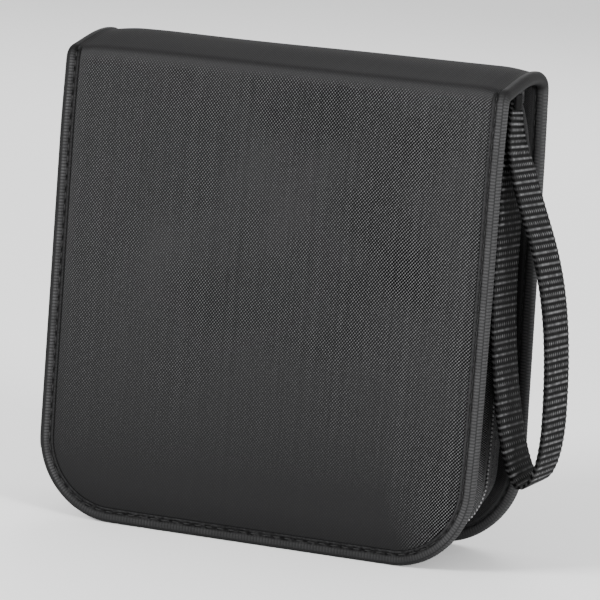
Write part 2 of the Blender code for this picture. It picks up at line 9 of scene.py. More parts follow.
import bmesh
import bpy
import numpy as np
from mathutils import Matrix, Vector
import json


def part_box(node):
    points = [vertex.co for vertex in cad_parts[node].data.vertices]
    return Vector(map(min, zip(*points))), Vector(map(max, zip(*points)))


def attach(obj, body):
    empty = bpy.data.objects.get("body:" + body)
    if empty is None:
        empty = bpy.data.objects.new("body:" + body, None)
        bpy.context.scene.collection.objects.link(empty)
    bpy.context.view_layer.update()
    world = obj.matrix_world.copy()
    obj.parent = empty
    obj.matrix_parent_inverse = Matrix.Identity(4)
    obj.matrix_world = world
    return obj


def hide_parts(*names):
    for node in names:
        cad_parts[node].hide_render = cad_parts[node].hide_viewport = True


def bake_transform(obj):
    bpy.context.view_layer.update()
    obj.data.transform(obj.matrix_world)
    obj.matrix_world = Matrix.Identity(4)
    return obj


MM = 0.001
FRONT = -1
BACK = 1

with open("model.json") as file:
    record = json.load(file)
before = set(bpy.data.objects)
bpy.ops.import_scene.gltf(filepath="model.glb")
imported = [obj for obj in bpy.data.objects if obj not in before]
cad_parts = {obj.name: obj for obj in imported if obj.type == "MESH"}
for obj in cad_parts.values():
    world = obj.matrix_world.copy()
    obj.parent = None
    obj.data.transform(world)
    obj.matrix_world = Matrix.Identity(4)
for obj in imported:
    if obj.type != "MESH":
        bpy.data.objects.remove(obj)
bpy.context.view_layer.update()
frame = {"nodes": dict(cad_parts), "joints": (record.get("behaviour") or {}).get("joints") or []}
NODES = frame["nodes"]
JOINTS = {joint["name"]: joint for joint in frame["joints"]}

# Sizes read from the frame
BINDING_LOW, BINDING_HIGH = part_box("front_binding")
CASE_X = (BINDING_LOW.x + BINDING_HIGH.x) / 2  # middle of the case, which the strap puts off centre
HALF_WIDTH = (BINDING_HIGH.x - BINDING_LOW.x) / 2
FOLD_HEIGHT = JOINTS["front_fold"]["pos_m"][2]
HINGE_Y = JOINTS["back_fold"]["pos_m"][1]
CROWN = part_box("spine_binding_left")[1].z
MOUTH_HALF = -BINDING_LOW.y

# Cloth layers, as in the solids
EDGE_THICKNESS = 4.4 * MM
PAD_CROWN = 0.5 * MM
PAD_BORDER = 9 * MM  # from the binding to where the padding is full
CORNER_RADIUS = 27 * MM
BINDING_WIDTH = 4.8 * MM
BINDING_THICKNESS = 0.8 * MM
GAP = 0.3 * MM
LINING_THICKNESS = 0.9 * MM
SPINE_BULGE = 0.1 * MM  # the spine's cloth stands this much higher half way along
SPINE_BORDER = 60 * MM  # over which it rises to that
FOLD_HALF = HINGE_Y - PAD_CROWN  # middle of the case to the fold, at the binding's outer face
FOLD_EASE = 4.2 * MM  # how far before and after the fold the cloth starts to turn
SIT = {FRONT: -0.6 * MM, BACK: 0.3 * MM}  # how far along the spine each cover sits off square
STITCH_INSET = 3.75 * MM
STITCH_PITCH = 4.0 * MM
STITCH_LENGTH = 2.5 * MM
THREAD = 0.42 * MM
RIB_PITCH = 1.06 * MM
RIB_HEIGHT = 0.1 * MM

# Wall
WALL_INSET = 6.8 * MM
TAPE_THICKNESS = 0.7 * MM
GUSSET_THICKNESS = 0.9 * MM
TAPE_HALF_WIDTH = 12 * MM
TAPE_SEAM = 3 * MM
TAPE_SLIT = 1.2 * MM
WALL_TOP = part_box("front_zip_tape")[1].z
CHAIN_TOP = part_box("front_zip_chain")[1].z
TOOTH_PITCH = 3.1 * MM
TOOTH_REACH = 0.9 * MM
CHAIN_HALF_WIDTH = 3 * MM
CHAIN_THICKNESS = 1.6 * MM
FILAMENT = 0.66 * MM
COIL_GLINT_PITCH = 1.4 * MM
TAPE_STITCH_PITCH = 3.2 * MM
TAB_SPREAD = 7.6 * MM  # how much wider each way the zip's end tabs are than their solids

# How the used case has settled: heights over its true form
SPINE_BACK = 0.8 * MM  # rise of the spine's arch for each half of its depth, towards the back
SPINE_HOLLOW = 2.0 * MM  # how much of the arch's front half has sunk
BACK_ROUND = 1.1 * MM  # taken off again at the back fold
BACK_LIFT = 0.5 * MM  # of the back cover's upper half
SPINE_TILT = 0.35 * MM  # up at the right end and down at the left
SPINE_SINK = 0.2 * MM  # all along
CORNER_WIDTH = 42 * MM  # part of a lower corner that is pressed
CORNER_HEIGHT = 50 * MM
LEFT_PRESS = LEFT_LIFT = 0.25 * MM
RIGHT_PRESS = 1.2 * MM
RIGHT_LIFT = 0.1 * MM
BACK_CURL = 1.5 * MM  # more lift at the back cover's right corner


# cloth laid flat and its place
def arc_length(line):
    """Length along a polyline at each of its points."""
    steps = np.linalg.norm(np.diff(line, axis=0), axis=1)
    return np.concatenate([[0], np.cumsum(steps)])


def fold_profile():
    """Arc length, place and way outward of the cloth's line in the yz plane, from the mouth to the crown."""
    lean = np.array([FOLD_HALF - MOUTH_HALF, FOLD_HEIGHT])
    corner = np.array([FOLD_HALF, FOLD_HEIGHT])
    rise = CROWN - FOLD_HEIGHT
    start = corner - lean / np.linalg.norm(lean) * FOLD_EASE
    cover = [np.array([MOUTH_HALF, 0]) * (1 - k / 60) + start * k / 60 for k in range(60)]
    turn_end = 1 - FOLD_EASE * 0.9 / FOLD_HALF
    end = np.array([FOLD_HALF * turn_end, FOLD_HEIGHT + rise * (1 - turn_end**2)])
    turn = [start * (1 - k) ** 2 + corner * 2 * k * (1 - k) + end * k * k for k in np.arange(0, 1, 0.05)]
    arch = [
        np.array([FOLD_HALF * t, FOLD_HEIGHT + rise * (1 - t * t)]) for t in np.linspace(turn_end, 0, 40)
    ]
    line = np.array(cover + turn + arch)
    along = arc_length(line)
    tangent = np.gradient(line, along, axis=0)
    angle = np.arctan2(-tangent[:, 0], tangent[:, 1])
    # level on the cover, as in the solids
    angle = (angle - angle[0]) * (math.pi / 2) / (angle[-1] - angle[0])
    return along, line, np.stack([np.cos(angle), np.sin(angle)], axis=1)


PROFILE_AT, PROFILE_LINE, PROFILE_OUT = fold_profile()
CLOTH_TOP = PROFILE_AT[-1]
FOLD_AT = float(np.interp(FOLD_HEIGHT - 1 * MM, PROFILE_LINE[:100, 1], PROFILE_AT[:100]))


def ease(value, low, high):
    """Smooth step from 0 at low to 1 at high."""
    share = np.clip((np.asarray(value, float) - low) / (high - low), 0, 1)
    return share * share * (3 - 2 * share)


def place(side, x, s, w):
    """Points in the frame of flat cloth points. w is EDGE_THICKNESS at the binding's outer face."""
    x, s, w = np.broadcast_arrays(x, s, w)
    x = x + SIT[side] * (1 - ease(s, FOLD_AT - 30 * MM, FOLD_AT + 8 * MM))
    q, z = (np.interp(s, PROFILE_AT, PROFILE_LINE[:, i]) for i in (0, 1))
    out_q, out_z = (np.interp(s, PROFILE_AT, PROFILE_OUT[:, i]) for i in (0, 1))
    low = np.minimum(s, 0)  # below the mouth the line simply goes on
    off = w - EDGE_THICKNESS
    return np.stack([x + CASE_X, side * (q + out_q * off), z + low + out_z * off], axis=-1)


def settle(points):
    """Points moved as the used case has settled.

    The spine falls away at the front and stands higher at the back. The lower corners are pressed in, and
    the back cover's right one curls up.
    """
    points = np.array(points, float).reshape(-1, 3)
    x, y, z = points.T.copy()
    t = np.clip(y / HINGE_Y, -1, 1)
    back = ease(t, 0.6, 0.95) * BACK_LIFT
    rise = (1 + t) * (SPINE_BACK - SPINE_HOLLOW * (1 - t) ** 2) - ease(t, 0.6, 1.0) * BACK_ROUND
    rise += SPINE_TILT * np.clip((x - CASE_X) / HALF_WIDTH, -1, 1) - SPINE_SINK
    points[:, 2] += (rise - back) * ease(z, FOLD_HEIGHT - 10 * MM, FOLD_HEIGHT)
    points[:, 2] += back * ease(z, 60 * MM, FOLD_HEIGHT)
    curl = RIGHT_LIFT + BACK_CURL * ease(y, -10 * MM, 15 * MM)
    for way, press, lift in ((-1, LEFT_PRESS, LEFT_LIFT), (1, RIGHT_PRESS, curl)):
        reach = (x - CASE_X) * way
        corner = ease(reach, HALF_WIDTH - CORNER_WIDTH, HALF_WIDTH) * (1 - ease(z, 0, CORNER_HEIGHT))
        corner[reach > HALF_WIDTH] = 0  # the strap hangs clear
        points[:, 0] -= way * corner * press
        points[:, 2] += corner * lift
    return points


class Path:
    """Stations down the left, round the mouth and up the right. An inset is measured inward from the edge."""

    def __init__(self, top, step):
        half = HALF_WIDTH - CORNER_RADIUS
        leg = max(2, round((top - CORNER_RADIUS) / step))
        arc = max(3, round(CORNER_RADIUS * math.pi / 2 / step))
        base = max(2, round(2 * half / step))
        rows = [(-half, top + (CORNER_RADIUS - top) * k / leg, -1, 0) for k in range(leg)]
        for k in range(arc):
            angle = k / arc * math.pi / 2
            rows.append((-half, CORNER_RADIUS, -math.cos(angle), -math.sin(angle)))
        rows += [(-half + 2 * half * k / base, CORNER_RADIUS, 0, -1) for k in range(base)]
        for k in range(arc):
            angle = k / arc * math.pi / 2
            rows.append((half, CORNER_RADIUS, math.sin(angle), -math.cos(angle)))
        rows += [(half, CORNER_RADIUS + (top - CORNER_RADIUS) * k / leg, 1, 0) for k in range(leg + 1)]
        self.rows = np.array(rows)
        self.length = arc_length(self.at(0))

    def at(self, inset):
        """(x, s) of each station at an inset, which may differ from station to station."""
        reach = CORNER_RADIUS - np.reshape(inset, (-1, 1))
        return self.rows[:, :2] + self.rows[:, 2:] * reach


class Row:
    """A line round the wall, at one inset of a path, that is read by the length along it."""

    def __init__(self, path, inset):
        self.line, self.out = path.at(inset), path.rows[:, 2:]
        self.along = arc_length(self.line)
        self.total = self.along[-1]

    def points(self, at, y, stand):
        """Points at these lengths and this depth that stand out of the wall by so much."""
        x, z, out_x, out_z = (
            np.interp(at, self.along, values) for values in (*self.line.T, *self.out.T)
        )
        y = np.broadcast_to(np.asarray(y, float), np.shape(at))
        return np.stack([x + CASE_X + out_x * stand, y, z + out_z * stand], axis=-1)


# meshes
def make_piece(name, points, faces, material, uvs=None, smooth=True, tone_with_painted_light=None):
    """A mesh object from numpy points and a list of faces. uvs are one pair for each point, in millimetres.

    The last argument tells the material how light to draw each point, from 0 to 1: rib and dot tops are
    painted light as highlights and the hollows dark as shade.
    """
    mesh = bpy.data.meshes.new(name)
    mesh.from_pydata(settle(points).tolist(), [], faces)
    if tone_with_painted_light is not None:
        mesh.attributes.new("tone_with_painted_light", "FLOAT", "POINT").data.foreach_set("value", np.ravel(tone_with_painted_light))
    if uvs is not None:
        layer = mesh.uv_layers.new(name="cloth")
        index = np.zeros(len(mesh.loops), int)
        mesh.loops.foreach_get("vertex_index", index)
        layer.data.foreach_set("uv", (np.asarray(uvs, float).reshape(-1, 2)[index] / MM).ravel())
    mesh.materials.append(material)
    bm = bmesh.new()
    bm.from_mesh(mesh)
    bmesh.ops.remove_doubles(bm, verts=bm.verts, dist=1e-7)
    bmesh.ops.recalc_face_normals(bm, faces=bm.faces)
    bm.to_mesh(mesh)
    bm.free()
    if smooth:
        mesh.shade_smooth()
        mesh.set_sharp_from_angle(angle=math.radians(80))
    piece = bpy.data.objects.new(name, mesh)
    bpy.context.scene.collection.objects.link(piece)
    return piece


def grid_faces(rows, columns, offset=0, wrap=False):
    """Quads of a grid whose points run column by column within each row."""
    last = columns if wrap else columns - 1
    faces = []
    for i in range(rows - 1):
        for j in range(last):
            k = (j + 1) % columns
            a, b = offset + i * columns + j, offset + i * columns + k
            faces.append((a, b, b + columns, a + columns))
    return faces


def tube_faces(rows, ring):
    """Faces of a tube of rings, closed at both ends."""
    faces = grid_faces(rows, ring, wrap=True)
    faces.append(tuple(range(ring)))
    faces.append(tuple(rows * ring - 1 - k for k in range(ring)))
    return faces


def tube_rows(centres, radius, sides, flat=1.0):
    """Rings round a polyline of points, and their faces, closed at both ends."""
    centres = np.asarray(centres, float)
    tangent = np.gradient(centres, axis=0)
    tangent /= np.linalg.norm(tangent, axis=1)[:, None] + 1e-12
    helper = np.array([0.02, 1.0, 0.03])
    across = np.cross(tangent, helper)
    across /= np.linalg.norm(across, axis=1)[:, None] + 1e-12
    up = np.cross(across, tangent)
    radius = np.broadcast_to(np.asarray(radius, float), (len(centres),))
    rings = []
    for k in range(sides):
        angle = 2 * math.pi * k / sides
        spoke = across * math.cos(angle) + up * math.sin(angle) * flat
        rings.append(centres + spoke * radius[:, None])
    return np.stack(rings, axis=1).reshape(-1, 3), tube_faces(len(centres), sides)


class Many:
    """Collects small bodies that become one mesh."""

    def __init__(self):
        self.points, self.faces, self.count = [], [], 0

    def add(self, points, faces):
        self.points.append(points)
        self.faces += [tuple(i + self.count for i in face) for face in faces]
        self.count += len(points)

    def piece(self, name, material):
        return make_piece(name, np.concatenate(self.points), self.faces, material)


# materials
class Shader:
    """A node material with short calls for its maths."""

    def __init__(self, name, roughness, metallic=0.0, specular=0.5):
        self.material = bpy.data.materials.new(name)
        self.material.use_nodes = True
        self.tree = self.material.node_tree
        self.surface = self.tree.nodes["Principled BSDF"]
        self.surface.inputs["Roughness"].default_value = roughness
        self.surface.inputs["Metallic"].default_value = metallic
        self.surface.inputs["Specular IOR Level"].default_value = specular

    def node(self, kind, **inputs):
        node = self.tree.nodes.new(kind)
        for name, value in inputs.items():
            self.feed(node.inputs[name.replace("_", " ")], value)
        return node

    def feed(self, socket, value):
        if isinstance(value, bpy.types.NodeSocket):
            self.tree.links.new(value, socket)
        else:
            socket.default_value = value

    def math(self, operation, *values):
        node = self.tree.nodes.new("ShaderNodeMath")
        node.operation = operation
        for socket, value in zip(node.inputs, values):
            self.feed(socket, value)
        return node.outputs[0]

    def product(self, first, *others):
        for value in others:
            first = self.math("MULTIPLY", first, value)
        return first

    def line(self, value, slope, offset):
        """value * slope + offset."""
        return self.math("MULTIPLY_ADD", value, slope, offset)

    def wave(self, coordinate, pitch, phase=0.0):
        """Sine of a coordinate in millimetres with the given pitch."""
        return self.math("SINE", self.line(coordinate, 2 * math.pi / pitch, phase))

    def uv(self):
        """u and v in millimetres."""
        split = self.node("ShaderNodeSeparateXYZ")
        self.tree.links.new(self.tree.nodes.new("ShaderNodeUVMap").outputs[0], split.inputs[0])
        return split.outputs[0], split.outputs[1]

    # Tone for each point, with rib tops painted light as highlights and hollows painted dark as shade.
    def tone_with_painted_light(self):
        node = self.tree.nodes.new("ShaderNodeAttribute")
        node.attribute_name = "tone_with_painted_light"
        return node.outputs["Fac"]

    def random(self, *values):
        """A steady random number for each pair of whole numbers."""
        vector = self.node("ShaderNodeCombineXYZ")
        for socket, value in zip(vector.inputs, values):
            self.feed(socket, self.math("FLOOR", value))
        node = self.tree.nodes.new("ShaderNodeTexWhiteNoise")
        node.noise_dimensions = "3D"
        self.tree.links.new(vector.outputs[0], node.inputs["Vector"])
        return node.outputs["Value"]

    def noise(self, scale, detail=2.0):
        vector = self.node("ShaderNodeTexCoord").outputs["Object"]
        return self.node("ShaderNodeTexNoise", Scale=scale, Detail=detail, Vector=vector).outputs[0]

    def mix(self, share, low, high):
        """Colour between two greys or colours."""
        ramp = self.tree.nodes.new("ShaderNodeMix")
        ramp.data_type = "RGBA"
        self.feed(ramp.inputs[0], share)
        self.feed(ramp.inputs[6], (*low, 1.0))
        self.feed(ramp.inputs[7], (*high, 1.0))
        return ramp.outputs[2]

    def span(self, value, low, high, to_low=0.0, to_high=1.0):
        ends = {"From_Min": low, "From_Max": high, "To_Min": to_low, "To_Max": to_high}
        return self.node("ShaderNodeMapRange", Value=value, **ends).outputs[0]

    def color(self, value):
        self.feed(self.surface.inputs["Base Color"], value)

    def roughness(self, value):
        self.feed(self.surface.inputs["Roughness"], value)

    def bump(self, height, distance, strength=1.0):
        node = self.node("ShaderNodeBump", Height=height, Distance=distance, Strength=strength)
        self.tree.links.new(node.outputs[0], self.surface.inputs["Normal"])


WEAVE_U = 1.03  # two yarns, in millimetres
WEAVE_V = 1.2
LEFT_END = -HALF_WIDTH / MM
FOLD_LINE = FOLD_AT / MM
CLOTH_LIGHT = 0.079  # the lightest grey of each fabric
TAPE_LIGHT = 0.044
WEBBING_LIGHT = 0.12


def grey(level):
    return (level, level, level * 1.02)


def woven_nylon():
    """Plain weave of coarse yarn: light dots in a chequer, the yarn tops' highlights painted into the colour,
    which fade near the mouth and over the spine. The cloth is painted darker towards the mouth and over the
    spine, as shade.
    """
    shader = Shader("woven_nylon", 0.5, specular=0.008)
    u, v = shader.uv()
    bend = shader.line(shader.noise(30, 2), 1.2, -0.6)
    u2 = shader.math("ADD", u, bend)
    v2 = shader.math("SUBTRACT", v, bend)
    weave = shader.product(shader.wave(u2, WEAVE_U), shader.wave(v2, WEAVE_V))
    across = shader.line(u2, WEAVE_V / WEAVE_U, shader.product(v2, -1.0))
    to_twill = shader.span(u, 10, 65, 0.0, 0.4)  # the diagonal line shows towards the right
    twill = shader.product(shader.wave(across, WEAVE_V, math.pi / 2), to_twill)
    weave = shader.line(shader.math("ADD", weave, twill), 0.42, 0.5)
    warp = shader.product(u2, 2 / WEAVE_U)
    weft = shader.product(v2, 2 / WEAVE_V)
    uneven = shader.line(shader.random(warp, weft, 0.0), 0.4, 0.6)
    uneven = shader.line(shader.random(warp, 0.0, 1.0), 0.3, uneven)
    # The light dots are painted highlights on the yarn tops, not a lighter yarn.
    dots = shader.product(shader.span(weave, 0.5, 0.82), uneven)
    fine = shader.noise(2600, 2)
    # Where the painted highlights fade: in patches, near the mouth except at the right, towards the left and
    # before the fold.
    patches = shader.span(shader.noise(24, 2), 0.35, 0.62, 0.45, 1.0)
    to_right = shader.math("MAXIMUM", shader.line(u, 2.6, -120.0), 0.0)
    level = shader.line(shader.noise(14, 2), -30, shader.math("ADD", v, to_right))
    from_mouth = shader.span(level, 6.0, 55.0)
    from_left = shader.span(u, LEFT_END + 5, LEFT_END + 9, 0.15, 1.0)
    from_left = shader.product(from_left, shader.span(u, -60, 50, 0.55, 1.0))
    from_fold = shader.span(v, FOLD_LINE - 3.4, FOLD_LINE - 0.4, 1.0, 0.1)
    crisp = shader.product(patches, from_fold, from_mouth, from_left)
    crisp = shader.line(crisp, 0.94, 0.06)
    # Under the dots the cloth is painted darker towards the mouth and over the spine, as shade.
    spine_painted_shade = shader.span(v, FOLD_LINE + 0.5, FOLD_LINE + 2.5, 1.0, 0.6)
    plain = shader.product(shader.span(v, 0.0, 95.0, 0.12, 0.27), spine_painted_shade)
    weave_and_painted_light = shader.line(shader.math("SUBTRACT", dots, plain), crisp, plain)
    light = shader.line(shader.math("SUBTRACT", fine, 0.5), 0.05, weave_and_painted_light)
    shader.color(shader.mix(light, grey(0.0), grey(CLOTH_LIGHT)))
    shader.roughness(shader.span(weave, 0, 1, 0.8, 0.5))
    height = shader.line(fine, 0.15, weave_and_painted_light)
    shader.bump(height, 0.2 * MM, 0.8)
    return shader.material


def ribbed_tape():
    """Grosgrain. The ribs are in the mesh, and their tops are painted light as highlights and the stitched
    valley dark as shade.
    """
    shader = Shader("ribbed_tape", 0.6, specular=0.03)
    thread = shader.wave(shader.uv()[1], 0.42)
    fine = shader.noise(2400, 2)
    top = shader.math("POWER", shader.tone_with_painted_light(), 1.5)
    light = shader.line(thread, 0.04, top)
    light = shader.line(shader.math("SUBTRACT", fine, 0.5), 0.25, light)
    shader.color(shader.mix(light, grey(0.001), grey(TAPE_LIGHT)))
    shader.bump(shader.line(thread, 0.3, fine), 0.05 * MM, 0.7)
    return shader.material


def webbing_weave():
    """Ribbed webbing, its rib tops painted light as highlights and painted near black between its ribs as
    shade.
    """
    shader = Shader("webbing_weave", 0.55, specular=0.02)
    fine = shader.noise(2200, 2)
    top = shader.math("POWER", shader.tone_with_painted_light(), 1.8)
    uneven = shader.line(shader.math("SUBTRACT", fine, 0.5), 1.6, 1.0)
    shader.color(shader.mix(shader.product(top, uneven), grey(0.0), grey(WEBBING_LIGHT)))
    shader.bump(fine, 0.05 * MM, 0.7)
    return shader.material


def plain_cloth(name, low, high, pitch):
    """Fine plain weave for gussets, linings and zip tapes, with its pitch in millimetres."""
    shader = Shader(name, 0.7, specular=0.03)
    u, v = shader.uv()
    weave = shader.product(shader.wave(u, pitch), shader.wave(v, pitch))
    weave = shader.line(weave, 0.5, 0.5)
    fine = shader.noise(1800, 3)
    light = shader.product(shader.span(weave, 0.35, 0.95), shader.span(fine, 0.3, 0.7, 0.2, 1.0))
    shader.color(shader.mix(light, grey(low), grey(high)))
    shader.bump(light, 0.1 * MM, 0.7)
    return shader.material


def speckled(name, roughness, specular, speck, low, high, grain=()):
    """A colour that wanders between two.

    speck is the noise's scale and detail, and grain the bump's scale, detail, depth in mm and strength.
    """
    shader = Shader(name, roughness, specular=specular)
    shader.color(shader.mix(shader.noise(*speck), low, high))
    if grain:
        scale, detail, depth, strength = grain
        shader.bump(shader.noise(scale, detail), depth * MM, strength)
    return shader.material


def slider_metal():
    shader = Shader("slider_metal", 0.34, 0.85)
    worn = shader.noise(260, 4)
    shader.color(shader.mix(worn, grey(0.02), grey(0.05)))
    shader.roughness(shader.span(worn, 0.3, 0.7, 0.28, 0.42))
    shader.bump(shader.noise(900, 3), 0.02 * MM, 0.4)
    return shader.material


CLOTH = woven_nylon()
RIBBED = ribbed_tape()
WEBBING = webbing_weave()
# The gusset and zip tape cloths are drawn lighter than the covers' cloth: painted light that makes up for the
# shade inside the wall.
GUSSET_CLOTH = plain_cloth("gusset_cloth", 0.008, 0.14, 0.9)
LINING_CLOTH = plain_cloth("lining_cloth", 0.004, 0.026, 0.7)
TAPE_CLOTH = plain_cloth("tape_cloth", 0.008, 0.12, 0.8)
THREAD_DARK = speckled("dark_thread", 0.5, 0.15, (1500, 2), grey(0.004), grey(0.014))
COIL_GLINT = speckled("painted_coil_glint", 0.5, 0.15, (1500, 2), grey(0.1), grey(0.26))
# Near black: the strap's sewn end is painted dark as the shadow under the spine's binding.
END_CLOTH = plain_cloth("strap_end_cloth", 0.001, 0.01, 0.7)
COIL = speckled("coil_nylon", 0.45, 0.2, (900, 2), grey(0.008), grey(0.02), (2500, 2, 0.03, 0.4))
METAL = slider_metal()
FILM = speckled("page_film", 0.22, 0.5, (60, 3), (0.45, 0.46, 0.48), (0.54, 0.55, 0.57), (90, 3, 0.3, 0.25))
FELT = speckled("page_felt", 0.85, 0.5, (900, 4), (0.38, 0.38, 0.38), (0.5, 0.5, 0.5), (700, 4, 0.1, 0.6))


# covers
def pad_height(inset, s):
    """w of the cloth's outer face at an inset from the case's edge. Over the spine it has hardly a valley."""
    over = ease(s, FOLD_AT - 2 * MM, FOLD_AT + 5 * MM)
    valley = EDGE_THICKNESS - BINDING_THICKNESS - GAP + over * 0.75 * MM
    share, spread = (np.clip((inset - BINDING_WIDTH) / border, 0, 1) for border in (PAD_BORDER, SPINE_BORDER))
    full = EDGE_THICKNESS + PAD_CROWN
    bulge = over * SPINE_BULGE * np.sin(spread * math.pi / 2)
    return valley + (full - valley) * np.sin(share * math.pi / 2) + bulge


def softness(x, s, side):
    """Slow waves of soft padding."""
    x, s = x / MM, s / MM
    return (
        np.sin(x / 23 + s / 41 + side) * 0.16
        + np.sin(x / 13 - s / 19 + 2 + side) * 0.08
        + np.sin(s / 11 + x / 37 + 0.7) * 0.05
    ) * MM


def leg_stations(path):
    """Indices of a path's stations on its left leg, downward, and on its right leg, upward."""
    legs = np.abs(path.rows[:, 2]) == 1
    return [[k for k in np.flatnonzero(legs).tolist() if path.rows[k, 2] == way] for way in (-1, 1)]


def both_sides(faces, total, rim):
    """Faces of a layer, those of its copy behind it, and the strip that joins the two round the rim."""
    faces = faces + [tuple(i + total for i in reversed(face)) for face in faces]
    return faces + [(a, b, b + total, a + total) for a, b in zip(rim, rim[1:] + rim[:1])]


def add_shell(side, prefix):
    """One cover's cloth, over the fold to the crown of the spine, as a closed shell."""
    path = Path(CLOTH_TOP, 1.6 * MM)
    insets = np.concatenate([np.arange(2.6, 6, 0.5), np.arange(6, 27.01, 1.5)]) * MM
    insets[-1] = CORNER_RADIUS
    rings = np.stack([path.at(inset) for inset in insets])
    count = rings.shape[1]
    flat = rings.reshape(-1, 2)
    depth = np.repeat(insets, count)
    faces = grid_faces(len(insets), count)
    half = HALF_WIDTH - CORNER_RADIUS
    inner = rings[-1]
    left, right = leg_stations(path)
    base = [k for k in range(count) if path.rows[k, 2] == 0 and path.rows[k, 0] < half - 1e-9]
    levels = [inner[k, 1] for k in right]  # upward from the corner
    left_up = left[::-1][1 - len(levels) :]
    first = (len(insets) - 1) * count
    columns = base + [right[0]]
    grid, extra, extra_depth = {}, [], []
    for row, level in enumerate(levels):
        for column, k in enumerate(columns):
            if row == 0:
                grid[row, column] = first + k
            elif column == 0:
                grid[row, column] = first + left_up[row - 1]
            elif column == len(columns) - 1:
                grid[row, column] = first + right[row]
            else:
                grid[row, column] = len(flat) + len(extra)
                extra.append((inner[k, 0], level))
                extra_depth.append(min(half - abs(inner[k, 0]) + CORNER_RADIUS, level))
    for row in range(len(levels) - 1):
        for column in range(len(columns) - 1):
            corners = ((row, column), (row, column + 1), (row + 1, column + 1), (row + 1, column))
            faces.append(tuple(grid[corner] for corner in corners))
    flat = np.concatenate([flat, np.array(extra)])
    x, s = flat.T
    depth = np.concatenate([depth, np.array(extra_depth)])
    inside = np.clip((depth - PAD_BORDER) / (16 * MM), 0, 1) * (1 - ease(s, CLOTH_TOP - 12 * MM, CLOTH_TOP))
    from_end = np.minimum(HALF_WIDTH - np.abs(x), CORNER_RADIUS * 3)
    depth = np.where(depth < CORNER_RADIUS - 1e-6, depth, np.minimum(from_end, s))
    outer = place(side, x, s, pad_height(depth, s) + softness(x, s, side) * inside)
    under = place(side, x, s, BINDING_THICKNESS + LINING_THICKNESS + 3 * GAP)
    rim_top = [i * count + count - 1 for i in range(1, len(insets))]
    top_row = [grid[len(levels) - 1, column] for column in range(len(columns) - 2, -1, -1)]
    rim = list(range(count)) + rim_top + top_row + [i * count for i in range(len(insets) - 2, 0, -1)]
    points = np.concatenate([outer, under])
    faces = both_sides(faces, len(flat), rim)
    piece = make_piece(prefix + "_shell", points, faces, CLOTH, np.concatenate([flat, flat]))
    cover_nodes = ("front_cover", "spine_panel") if side == FRONT else ("back_cover",)
    fold_blend(piece)
    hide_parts(*cover_nodes)


def fold_blend(piece):
    """Bakes the piece's placement into its mesh."""
    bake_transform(piece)


def tape_profile():
    """Rows of inset, w, share of face ribs, share of edge ribs and tone of plain tape, round the tape.

    From the outer lip: ridge, stitched valley, ribbed face, rolled edge, inner face, and back under the tape.
    """
    # The tone is painted low in the groove at the lip and in the stitched valley, as shade.
    outer = [
        (5.15, 3.45, 0, 0, 0.1),
        (5.05, 3.75, 0.1, 0, 0.3),
        (4.75, 3.92, 0.25, 0, 0.48),
        (4.40, 3.86, 0.1, 0, 0.44),
        (4.05, 3.74, 0, 0, 0.38),
        (3.70, 3.70, 0, 0, 0.34),
        (3.35, 3.85, 0.15, 0, 0.36),
        (3.05, 4.12, 0.7, 0, 0.4),
        (2.70, 4.34, 1, 0, 0.5),
        (2.20, 4.40, 1, 0, 0.5),
        (1.70, 4.38, 1, 0, 0.5),
        (1.35, 4.31, 0.8, 0, 0.5),
        (1.10, 4.21, 0, 0, 0.5),
        (0.85, 4.08, 0, 0.8, 0.5),
        (0.55, 3.82, 0, 1, 0.5),
        (0.30, 3.46, 0, 1, 0.5),
        (0.13, 3.05, 0, 1, 0.5),
        (0.03, 2.60, 0, 1, 0.5),
        (0.00, 2.20, 0, 0.8, 0.5),
    ]
    middle = EDGE_THICKNESS / MM / 2
    inner = [(inset, 2 * middle - w, face, edge, tone * 1.3) for inset, w, face, edge, tone in outer[-2::-1]]
    kept = (0.03, 0.13, 0.30, 0.55, 1.10, 1.70, 2.70, 3.35, 3.70, 4.40, 5.05)
    inner = [row for row in inner if row[0] in kept]
    hidden = [(4.6, 0.95, 0, 0, 0.3), (0.95, 0.95, 0, 0, 0.3), (0.95, 3.3, 0, 0, 0.3), (4.6, 3.3, 0, 0, 0.3)]
    rows = np.array(outer + inner + hidden, float)
    rows[:, :2] *= MM
    return rows


